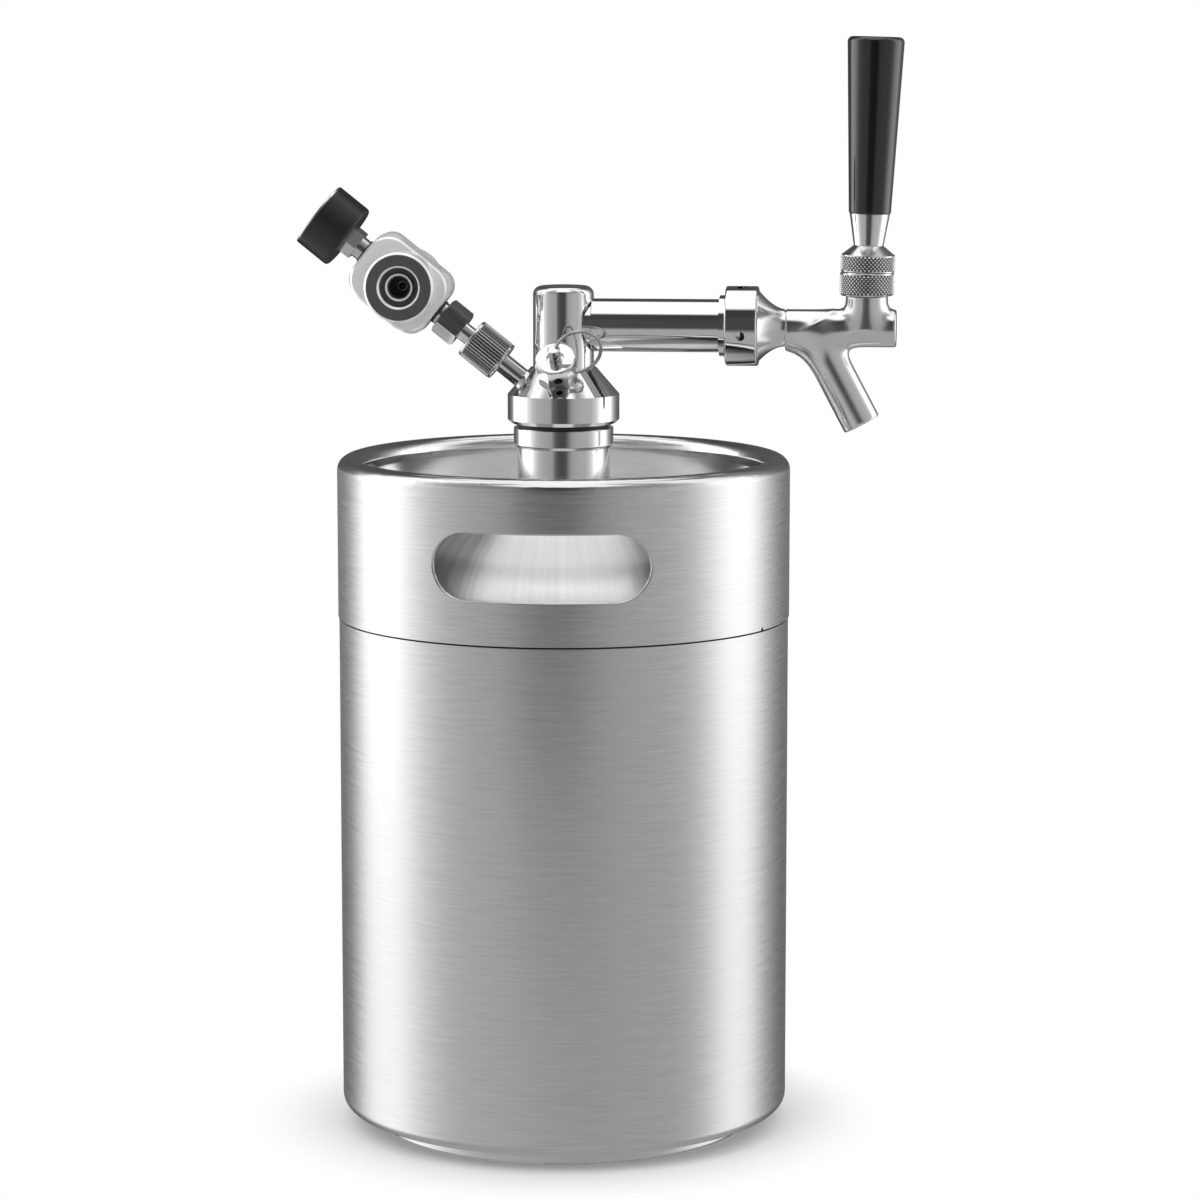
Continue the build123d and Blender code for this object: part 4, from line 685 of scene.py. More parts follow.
finishes = {
    "keg_steel": kegFinish(),
    "polished_chrome": polishedMetal("polishedChrome", (0.80, 0.80, 0.80), 0.035, 0.03),
    "satin_chrome": polishedMetal("satinChrome", (0.80, 0.80, 0.80), 0.15, 0.05, 90.0),
    "dark_nickel": polishedMetal("darkNickel", (0.64, 0.64, 0.645), 0.10, 0.05, 90.0),
    "stainless": polishedMetal("turnedStainless", (0.68, 0.68, 0.68), 0.16, 0.06, 90.0),
    "black_rubber": plainFinish("blackRubber", (0.022, 0.022, 0.023), 0.55, 0.08, 120.0, 0.3, 0.00004),
    "gloss_black": plainFinish(
        "glossBlack", (0.004, 0.004, 0.005), 0.06, 0.02, 40.0, 0.02, 0.00001,
        **{"Specular IOR Level": 0.3, "Coat Weight": 1.0, "Coat Roughness": 0.03, "Coat IOR": 1.5},
    ),
    "black_plastic": plainFinish("blackKnob", (0.025, 0.025, 0.027), 0.38, 0.05, 90.0, 0.2, 0.00003),
    "satin_aluminium": plainFinish(
        "satinAluminium", (0.74, 0.75, 0.76), 0.33, 0.04, 120.0, 0.25, 0.00002, metallic=0.75
    ),
    "plated_insert": insertFinish(portLip),
    "brass": polishedMetal("turnedBrass", (0.80, 0.62, 0.33), 0.18, 0.08, 90.0),
    "spring_steel": polishedMetal("springSteel", (0.50, 0.50, 0.52), 0.22, 0.06, 90.0),
    "black_enamel": plainFinish("blackEnamel", (0.010, 0.010, 0.011), 0.36, 0.05, 70.0, 0.08, 0.00002),
    "bezel_silver": polishedMetal("bezelSilver", (0.80, 0.80, 0.80), 0.10, 0.04),
    "white_enamel": plainFinish("dialWhite", (0.86, 0.86, 0.85), 0.42, 0.04, 80.0, 0.04, 0.00001),
    "clear_glass": glassFinish(),
}
ownFinish = {
    "keg_neck": neckFinish(),
    "handle_ring": ringFinish(),
    "keg_dome": domeFinish(domeSpun),
    "regulator_body": regulatorFinish(portFace),
    "outlet_hex": nutFinish(),
    "piercing_pin": polishedMetal("pinSteel", (0.34, 0.34, 0.34), 0.2, 0.05, 90.0),
    # The knurled chrome paints shade into the valleys between the teeth
    "faucet_bonnet": knurlRoot("bonnetChrome", stemLine, -0.9, 6.4, 9.9),
    "lever_collar": knurlRoot("collarChrome", leverLine, 7.9, 13.3, 9.9),
}
slotOf = {row["node"]: row["material_slot"] for row in frame["record"]["subparts"]}
for label, node in nodes.items():
    for place in node.material_slots:
        place.material = ownFinish.get(label, finishes[slotOf[label]])
print("finishes are on the frame's own pieces")


def newTree(name, takes):
    # A Geometry Nodes tree with named inputs, which closeTree ends in plain mesh with its material
    tree = bpy.data.node_groups.new(name, "GeometryNodeTree")
    tree.is_modifier = True
    tree.interface.new_socket("Geometry", in_out="INPUT", socket_type="NodeSocketGeometry")
    for label, kind, value in takes:
        socket = tree.interface.new_socket(label, in_out="INPUT", socket_type=kind)
        socket.default_value = value
    tree.interface.new_socket("Material", in_out="INPUT", socket_type="NodeSocketMaterial")
    tree.interface.new_socket("Geometry", in_out="OUTPUT", socket_type="NodeSocketGeometry")
    return tree, tree.nodes.new("NodeGroupInput").outputs


def closeTree(tree, into, geometry):
    plain = addNode(tree, "GeometryNodeRealizeInstances", {0: geometry}).outputs[0]
    done = addNode(tree, "GeometryNodeSetMaterial", {"Geometry": plain, "Material": into["Material"]})
    tree.links.new(done.outputs[0], tree.nodes.new("NodeGroupOutput").inputs[0])
    return tree


def runTree(tree, material, mesh=None, **values):
    mesh = mesh or bpy.data.meshes.new("empty")
    seed = bpy.data.objects.new("seed", mesh)
    scene.collection.objects.link(seed)
    modifier = seed.modifiers.new(tree.name, "NODES")
    modifier.node_group = tree
    sockets = {item.name: item.identifier for item in tree.interface.items_tree if item.in_out == "INPUT"}
    modifier[sockets["Material"]] = material
    for key, value in values.items():
        modifier[sockets[key]] = value
    made = bpy.data.meshes.new_from_object(seed.evaluated_get(bpy.context.evaluated_depsgraph_get()))
    bpy.data.objects.remove(seed)
    bpy.data.meshes.remove(mesh)
    return made


def makeLathe():
    takes = [("Segments", "NodeSocketInt", 96), ("Steps", "NodeSocketInt", 5)]
    tree, into = newTree("lathe", takes)
    hub = 0.001  # the rail circle the outline is swept round
    outline = addNode(tree, "GeometryNodeMeshToCurve", {0: into["Geometry"]}).outputs[0]
    rounding = addNode(tree, "GeometryNodeInputNamedAttribute", {"Name": "round"}, data_type="FLOAT")
    fillet = {"Curve": outline, "Count": into["Steps"], "Radius": rounding.outputs[0], "Limit Radius": True}
    soft = addNode(tree, "GeometryNodeFilletCurve", fillet, mode="POLY").outputs[0]
    moved = addNode(tree, "GeometryNodeSetPosition", {"Geometry": soft, "Offset": (-hub, 0, 0)}).outputs[0]
    circle = {"Resolution": into["Segments"], "Radius": hub}
    rail = addNode(tree, "GeometryNodeCurvePrimitiveCircle", circle, mode="RADIUS").outputs[0]
    rail = addNode(tree, "GeometryNodeSetCurveNormal", {0: rail}, mode="Z_UP").outputs[0]
    swept = addNode(tree, "GeometryNodeCurveToMesh", {"Curve": rail, "Profile Curve": moved}).outputs[0]
    joined = addNode(tree, "GeometryNodeMergeByDistance", {0: swept, "Distance": 0.000001}).outputs[0]
    return closeTree(tree, into, joined)


def countedPoints(tree, count):
    # Points in a row, and their numbers, from which the tree works out their places
    row = addNode(tree, "GeometryNodeMeshLine", {"Count": count, "Offset": (0, 0, mm)}).outputs[0]
    return row, addNode(tree, "GeometryNodeInputIndex").outputs[0]


def placeRound(tree, into, points, shape, angle, height, tilt=0.0):
    # Ends the tree with the shape at each point, at an angle round the axis and a height on it
    x = sums(tree, "MULTIPLY", sums(tree, "COSINE", angle), into["Radius"])
    y = sums(tree, "MULTIPLY", sums(tree, "SINE", angle), into["Radius"])
    place = addNode(tree, "ShaderNodeCombineXYZ", {0: x, 1: y, 2: height}).outputs[0]
    turn = addNode(tree, "ShaderNodeCombineXYZ", {0: 0.0, 1: tilt, 2: angle}).outputs[0]
    moved = addNode(tree, "GeometryNodeSetPosition", {"Geometry": points, "Position": place}).outputs[0]
    inputs = {"Points": moved, "Instance": shape, "Rotation": turn, "Scale": into["Size"]}
    return closeTree(tree, into, addNode(tree, "GeometryNodeInstanceOnPoints", inputs).outputs[0])


def makeKnurl():
    takes = [
        ("Around", "NodeSocketInt", 42),
        ("Rows", "NodeSocketInt", 8),
        ("Radius", "NodeSocketFloat", 0.01),
        ("Low", "NodeSocketFloat", 0.0),
        ("Step", "NodeSocketFloat", 0.00075),  # from row to row
        ("Size", "NodeSocketVector", (0.00074, 0.00074, 0.0003)),
    ]
    tree, into = newTree("diamondKnurl", takes)
    points, index = countedPoints(tree, sums(tree, "MULTIPLY", into["Around"], into["Rows"]))
    row = sums(tree, "FLOOR", sums(tree, "DIVIDE", sums(tree, "ADD", index, 0.25), into["Around"]))
    spot = sums(tree, "MODULO", index, into["Around"])
    half = sums(tree, "MULTIPLY", sums(tree, "MODULO", row, 2.0), 0.5)  # every other row is shifted
    share = sums(tree, "DIVIDE", sums(tree, "ADD", spot, half), into["Around"])
    angle = sums(tree, "MULTIPLY", share, 2 * pi)
    height = sums(tree, "ADD", sums(tree, "MULTIPLY", row, into["Step"]), into["Low"])
    cone = {"Vertices": 4, "Radius Top": 0.0, "Radius Bottom": 1.0, "Depth": 1.0}
    tip = addNode(tree, "GeometryNodeMeshCone", cone, fill_type="NGON").outputs[0]
    return placeRound(tree, into, points, tip, angle, height, pi / 2)


def makeRidges():
    takes = [
        ("Around", "NodeSocketInt", 44),
        ("Radius", "NodeSocketFloat", 0.0077),
        ("Middle", "NodeSocketFloat", 0.0),
        ("Size", "NodeSocketVector", (0.0003, 0.0005, 0.01)),
    ]
    tree, into = newTree("straightKnurl", takes)
    points, index = countedPoints(tree, into["Around"])
    angle = sums(tree, "MULTIPLY", sums(tree, "DIVIDE", index, into["Around"]), 2 * pi)
    prism = {"Vertices": 4, "Radius": 1.0, "Depth": 1.0}
    bar = addNode(tree, "GeometryNodeMeshCylinder", prism, fill_type="NGON").outputs[0]
    return placeRound(tree, into, points, bar, angle, into["Middle"])


def makeCoil():
    takes = [
        ("Turns", "NodeSocketFloat", 2.0),
        ("Radius", "NodeSocketFloat", 0.009),
        ("Length", "NodeSocketFloat", 0.001),
        ("Wire", "NodeSocketFloat", 0.0004),
        ("Sides", "NodeSocketInt", 12),
        ("Resolution", "NodeSocketInt", 48),  # points in a turn
    ]
    tree, into = newTree("coilWire", takes)
    path = addNode(tree, "GeometryNodeCurveSpiral")
    feeds = {"Resolution": "Resolution", "Rotations": "Turns", "Height": "Length"}
    for label, source in {**feeds, "Start Radius": "Radius", "End Radius": "Radius"}.items():
        tree.links.new(into[source], path.inputs[label])
    circle = {"Resolution": into["Sides"], "Radius": into["Wire"]}
    wire = addNode(tree, "GeometryNodeCurvePrimitiveCircle", circle, mode="RADIUS").outputs[0]
    sweep = {"Curve": path.outputs[0], "Profile Curve": wire, "Fill Caps": True}
    return closeTree(tree, into, addNode(tree, "GeometryNodeCurveToMesh", sweep).outputs[0])


def makeTicks():
    takes = [
        ("Count", "NodeSocketInt", 31),
        ("Start", "NodeSocketFloat", 0.0),
        ("Sweep", "NodeSocketFloat", 4.71),
        ("Radius", "NodeSocketFloat", 0.01),
        ("Height", "NodeSocketFloat", 0.1147),
        ("Size", "NodeSocketVector", (0.001, 0.0002, 0.00008)),
    ]
    tree, into = newTree("dialTicks", takes)
    points, index = countedPoints(tree, into["Count"])
    share = sums(tree, "DIVIDE", index, sums(tree, "SUBTRACT", into["Count"], 1.0))
    angle = sums(tree, "ADD", sums(tree, "MULTIPLY", share, into["Sweep"]), into["Start"])
    mark = addNode(tree, "GeometryNodeMeshCube", {"Size": (1, 1, 1)}).outputs[0]
    return placeRound(tree, into, points, mark, angle, into["Height"])


lathe, knurl, ridges, coil, ticks = makeLathe(), makeKnurl(), makeRidges(), makeCoil(), makeTicks()
print("node trees are built")


def outlineMesh(points, closed):
    # Points are (radius, height) or (radius, height, rounding), in millimetres
    mesh = bpy.data.meshes.new("outline")
    last = len(points)
    edges = [(n, (n + 1) % last) for n in range(last if closed else last - 1)]
    mesh.from_pydata([(point[0] * mm, -point[1] * mm, 0) for point in points], edges, [])
    rounding = mesh.attributes.new("round", "FLOAT", "POINT")
    rounding.data.foreach_set("value", [point[2] * mm if len(point) > 2 else 0.0 for point in points])
    return mesh


def tidyMesh(mesh, line, sharp=32, merge=0.000002):
    # Put in place, closed, with its faces outwards and its sharp edges marked
    form = bmesh.new()
    form.from_mesh(mesh)
    bmesh.ops.remove_doubles(form, verts=form.verts[:], dist=merge)
    bmesh.ops.transform(form, matrix=line, verts=form.verts[:])
    bmesh.ops.recalc_face_normals(form, faces=form.faces[:])
    for face in form.faces:
        face.smooth = True
    for edge in form.edges:
        edge.smooth = len(edge.link_faces) == 2 and edge.calc_face_angle(4.0) < radians(sharp)
    form.to_mesh(mesh)
    form.free()
    return mesh


def plainCopy(piece, *modifiers):
    # Runs modifiers on a piece and keeps only their result
    for kind, settings in modifiers:
        made = piece.modifiers.new(kind.lower(), kind)
        for key, value in settings.items():
            setattr(made, key, value)
    fresh = bpy.data.meshes.new_from_object(piece.evaluated_get(bpy.context.evaluated_depsgraph_get()))
    piece.modifiers.clear()
    piece.data = fresh


evenShading = ("WEIGHTED_NORMAL", {"keep_sharp": True, "weight": 100})


def newPiece(name, mesh, material=None):
    piece = bpy.data.objects.new(name, mesh)
    scene.collection.objects.link(piece)
    if material:
        mesh.materials.clear()
        mesh.materials.append(material)
    return piece


def handOver(piece, body, slot, *replaced):
    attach(piece, body)
    if replaced:
        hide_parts(*replaced)


def turnedPiece(name, spec, line, body, node, replace=True, modifiers=()):
    slot = slotOf[node]
    material = spec.get("finish") or finishes[slot]
    outline = outlineMesh(spec["outline"], spec.get("closed", True))
    mesh = runTree(lathe, material, outline, Segments=spec.get("segments", 96), Steps=spec.get("steps", 5))
    piece = newPiece(name, tidyMesh(mesh, line), material)
    plainCopy(piece, *modifiers, evenShading)
    handOver(piece, body, slot, *([node] if replace else []))
    return piece


def patternPiece(name, tree, values, line, body, slot, *replaced, finish=None, sharp=20):
    finish = finish or finishes[slot]
    mesh = runTree(tree, finish, **values)
    piece = newPiece(name, tidyMesh(mesh, line, sharp, merge=0.0000001), finish)
    handOver(piece, body, slot, *replaced)


def copiedPiece(name, node, body, turn=Matrix.Identity(4), sharp=30):
    # A merged copy of a CAD node's mesh, for pieces that are worked on further
    mesh = nodes[node].data.copy()
    for label in [a.name for a in mesh.attributes if a.name == "custom_normal"]:
        mesh.attributes.remove(mesh.attributes[label])
    mesh.transform(nodes[node].matrix_world)
    piece = newPiece(name, tidyMesh(mesh, turn, sharp, merge=0.000005), ownFinish[node])
    plainCopy(piece, evenShading)
    handOver(piece, body, slotOf[node], node)
    return piece


def dishOutline(reach, rise, bottom, steps=10):
    # Points of the bottom's shallow dish, from the middle out
    sphere = (reach**2 + rise**2) / (2 * rise)
    points = []
    for n in range(steps + 1):
        radius = reach * n / steps
        points.append((radius, bottom + rise - sphere + sqrt(sphere**2 - radius**2)))
    return points


kegShell = {
    "segments": 192,
    "steps": 8,
    "closed": False,
    "outline": [
        *dishOutline(62.0, 9.0, 6.0), (85.6, 6.0, 5.0), (85.6, 196.08, 0.4), (84.9, 196.1),
        (84.9, 196.7), (84.6, 196.7), (84.6, 7.0, 4.0),
        *reversed(dishOutline(62.0, 9.0, 7.0)),
    ],
}
turnedPiece("keg_shell", kegShell, kegLine, "keg", "keg_body")

handle = {
    "segments": 128,
    "steps": 8,
    "closed": False,
    "outline": [(0, 41.3), (4.05, 41.3), (4.05, 29.32), (7.9, 29.32, 0.35), (10.7, 94.8, 2.0), (0, 94.8)],
}
turnedPiece("lever_handle", handle, leverLine, "lever", "tap_handle")

ferrule = {
    "finish": ferruleFinish(),
    "closed": False,
    "outline": [
        (0, 26.0), (3.05, 26.0), (3.05, 17.22), (5.6, 17.22, 0.25), (7.6, 29.3, 0.3), (4.0, 29.3),
        (4.0, 40.3), (0, 40.3),
    ],
}
turnedPiece("lever_ferrule", ferrule, leverLine, "lever", "handle_ferrule")

reliefDisc = {
    "outline": [
        (1.0, 5.02), (3.2, 5.02), (3.2, 8.02), (7.6, 8.02, 0.5), (7.6, 9.2, 0.55), (3.25, 9.2, 0.25),
        (3.25, 8.2), (1.0, 8.2),
    ],
}
turnedPiece("relief_disc", reliefDisc, reliefLine, "head", "relief_cap")

gaugeCase = {
    "segments": 128,
    "outline": [
        (3.05, 104.7), (13.2, 104.7, 1.4), (13.2, 118.6, 0.25), (12.4, 118.6), (12.4, 105.52), (3.05, 105.52),
    ],
}
turnedPiece("gauge_can", gaugeCase, gasLine, "regulator", "gauge_case")

gaugeRing = {
    "segments": 128,
    "outline": [(11.7, 118.62), (13.2, 118.62, 0.12), (13.2, 119.4, 0.4), (11.7, 119.4, 0.12)],
}
turnedPiece("gauge_ring", gaugeRing, gasLine, "regulator", "gauge_bezel")

gaugeWindow = {
    "closed": False,
    "outline": [
        (0, 117.7), (12.35, 117.7), (12.35, 118.6), (11.6, 118.6), (9.5, 118.82), (7.0, 119.02),
        (4.5, 119.15), (2.0, 119.22), (0, 119.24),
    ],
}
turnedPiece("gauge_window", gaugeWindow, gasLine, "regulator", "gauge_lens")
print("turned pieces are in")

couplingNut = {
    "segments": 128,
    "outline": [(10.1, 61.6), (15.0, 61.6, 0.8), (15.0, 73.9, 0.8), (13.0, 73.9), (13.0, 64.2), (10.1, 64.2)],
    "holes": {"radius": 1.75, "along": 67.75, "turn": -11.0, "count": 4, "from": 12.6, "to": 17.6},
}


def makeHoleCutter(spec):
    form = bmesh.new()
    radius, depth = spec["radius"] * mm, spec["to"] - spec["from"]
    for n in range(spec["count"]):
        turn = radians(spec["turn"] + 360 / spec["count"] * n)
        way = Vector((0, -cos(turn), sin(turn)))
        middle = Vector((spec["along"], 0, armHeight)) + way * (spec["from"] + depth / 2)
        line = lineAt(middle, way, (1, 0, 0))
        bmesh.ops.create_cone(
            form, cap_ends=True, segments=40, radius1=radius, radius2=radius, depth=depth * mm, matrix=line
        )
    mesh = bpy.data.meshes.new("spannerHoles")
    form.to_mesh(mesh)
    form.free()
    return newPiece("spannerHoles", mesh)


cutter = makeHoleCutter(couplingNut["holes"])
turnedPiece(
    "coupling_ring", couplingNut, armLine, "coupling_nut_turning", "coupling_nut",
    modifiers=[("BOOLEAN", {"object": cutter, "operation": "DIFFERENCE", "solver": "EXACT"})],
)
bpy.data.objects.remove(cutter)

# Its finish paints shade into the grooves between the ridges
swivelNut = {
    "finish": knurlRoot("swivelChrome", gasLine, 31.1, 43.9, 7.4),
    "outline": [
        (3.95, 29.8), (7.85, 29.8, 0.8), (7.85, 31.0, 0.1), (7.6, 31.2), (7.6, 43.8), (7.85, 44.0, 0.1),
        (7.85, 45.2, 0.8), (5.9, 45.2), (5.9, 32.6), (3.95, 32.6),
    ],
    "ridges": {
        "Around": 40, "Radius": 7.5 * mm, "Middle": 37.5 * mm, "Size": (0.5 * mm, 0.42 * mm, 12.8 * mm),
    },
}
diamonds = {"Around": 42, "Radius": 9.9 * mm, "Step": 0.78 * mm, "Size": (0.74 * mm, 0.72 * mm, 0.56 * mm)}
bonnetKnurl = {**diamonds, "Rows": 9, "Low": -0.4 * mm}
collarKnurl = {**diamonds, "Rows": 7, "Low": 8.3 * mm}
knurlChrome = polishedMetal("knurlChrome", (0.86, 0.86, 0.86), 0.3, 0.05, 90.0)
turnedPiece("swivel_ring", swivelNut, gasLine, "swivel_nut_turning", "swivel_nut")
for name, tree, values, line, body in (
    ("swivel_knurl", ridges, swivelNut["ridges"], gasLine, "swivel_nut_turning"),
    ("bonnet_knurl", knurl, bonnetKnurl, stemLine, "head"),
    ("collar_knurl", knurl, collarKnurl, leverLine, "lever"),
):
    patternPiece(name, tree, values, line, body, "satin_chrome", finish=knurlChrome)
print("knurling is cut")

splitRing = {  # one wire wound twice, placed in millimetres
    "centre": (7.338, -19.210, 298.392),
    "hole": (-1.1611, -22.1549, 298.0853),  # where the wire passes through the stem
    "axis": (-0.263317, 0.689476, 0.674750),
    "lift": 15.0,  # degrees that it stands off the cap
    "back": 0.5,  # from the centre to where the wire starts
    "wire": {
        "Turns": 2.05, "Radius": 9.0 * mm, "Length": 1.1 * mm, "Wire": 0.55 * mm,
        "Sides": 14, "Resolution": 64,
    },
}


def makeSplitRing(spec):
    centre, axis = Vector(spec["centre"]), Vector(spec["axis"])
    out = centre - Vector(spec["hole"])
    axis.rotate(Quaternion(out, radians(-spec["lift"])))
    line = lineAt(centre - axis.normalized() * spec["back"], axis, out)
    patternPiece(
        "split_ring", coil, spec["wire"], line, "pull_ring_turning", "polished_chrome", "pull_ring",
        finish=finishes["spring_steel"], sharp=32,
    )


makeSplitRing(splitRing)

portThread = {
    "start": 11.8 * mm,  # along the port's line
    "wire": {
        "Turns": 6.0, "Radius": 4.27 * mm, "Length": 6.0 * mm, "Wire": 0.36 * mm,
        "Sides": 4, "Resolution": 48,
    },
}
# The thread takes the plated insert's finish, whose dark colour is painted shade in the hole
threadLine = portLine @ Matrix.Translation((0, 0, portThread["start"]))
patternPiece("port_thread", coil, portThread["wire"], threadLine, "regulator", "plated_insert", sharp=32)

# The springs are pressed together between the two bodies that they stand on
springs = {
    "adjust_coil": {
        "node": "adjust_spring", "bodies": ("plate", "regulator"), "line": portLine,
        "low": -19.23, "high": -11.1,  # along the line, in millimetres
        "wire": {"Turns": 2.5, "Radius": 6.0 * mm, "Wire": 0.8 * mm, "Sides": 14, "Resolution": 64},
    },
    "relief_coil": {
        "node": "relief_spring", "bodies": ("relief_plunger", "head"), "line": reliefLine,
        "low": -5.48, "high": 4.9,
        "wire": {"Turns": 7.0, "Radius": 1.75 * mm, "Wire": 0.35 * mm, "Sides": 10, "Resolution": 32},
    },
}


def makeSpring(name, spec):
    slot = slotOf[spec["node"]]
    thick = spec["wire"]["Wire"]
    length = (spec["high"] - spec["low"]) * mm - 2 * thick
    mesh = runTree(coil, finishes[slot], Length=length, **spec["wire"])
    line = spec["line"] @ Matrix.Translation((0, 0, spec["low"] * mm + thick))
    piece = newPiece(name, tidyMesh(mesh, line), finishes[slot])
    start, end = (spec["line"] @ Vector((0, 0, spec[k] * mm)) for k in ("low", "high"))
    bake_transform(piece, *spec["bodies"], start, end)
    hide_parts(spec["node"])


for name, spec in springs.items():
    makeSpring(name, spec)
print("ring, thread and springs are wound")


outletNut = {"turn": 10.0}  # degrees, so that one of its flats faces forward
nutTurn = gasLine @ Matrix.Rotation(radians(outletNut["turn"]), 4, "Z") @ gasLine.inverted()
copiedPiece("outlet_nut", "outlet_hex", "regulator", nutTurn, sharp=25)

handleRing = {"outer": 86.0, "within": 0.01}  # millimetres


def shadeHandleRing(mesh, spec):
    # The ring's outer wall has long faces, so its shading follows the true cylinder
    normals = [corner.vector.copy() for corner in mesh.corner_normals]
    for polygon in mesh.polygons:
        spots = [mesh.vertices[n].co for n in polygon.vertices]
        if all(abs(hypot(spot.x, spot.y) - spec["outer"] * mm) < spec["within"] * mm for spot in spots):
            for corner, spot in zip(polygon.loop_indices, spots):
                normals[corner] = Vector((spot.x, spot.y, 0)).normalized()
    mesh.normals_split_custom_set(normals)


shadeHandleRing(copiedPiece("ring_shell", "handle_ring", "keg").data, handleRing)
print("outlet nut and handle ring are in")

casting = {  # in millimetres
    "grid": 0.36,  # spacing of the points that the form is worked out on
    "low": (83.5, -9.6, 266.6),
    "high": (126.4, 9.6, 319.6),
    "form": {
        "Barrel Radius": 7.05, "Barrel Height": 306.5, "Barrel Start": 84.0, "Barrel End": 125.7,
        "End Rounding": 0.6, "Boss Radius": 7.9, "Boss Place": 114.5, "Boss Top": 318.9,
        "Leg Width": 6.9, "Leg Thickness": 6.2, "Leg Aside": 0.7, "Leg End": 40.3,
        "Web Front": 3.0, "Web Half": 5.6, "Web Rounding": 5.0, "Web Arc": 25.0, "Web Top": 304.5,
        "Web Blend": 4.0, "Leg Blend": 8.0, "Boss Blend": 5.0,
    },
    "mouth": (113.98, 270.9),  # x and z of the middle of the spout's end
    "slope": 62.0,  # degrees
    "rear": {"aside": 7.6, "bend": 23.2},  # where the rear edge lies, and how far up it starts to bend
    "bore": {"height": 307.1, "rear": 5.2, "step": 98.5, "front": 4.2, "end": 124.0},
    "spoutBore": {"wide": 4.6, "deep": 20.0, "narrow": 4.2, "end": 41.0},
    "pocket": {"height": 320.4, "radius": 6.7, "seal": 6.42, "sealFloor": 314.71},
    "slot": {"middle": 112.61, "straight": 1.89, "half": 3.2},
    "passes": 12,  # of smoothing
}


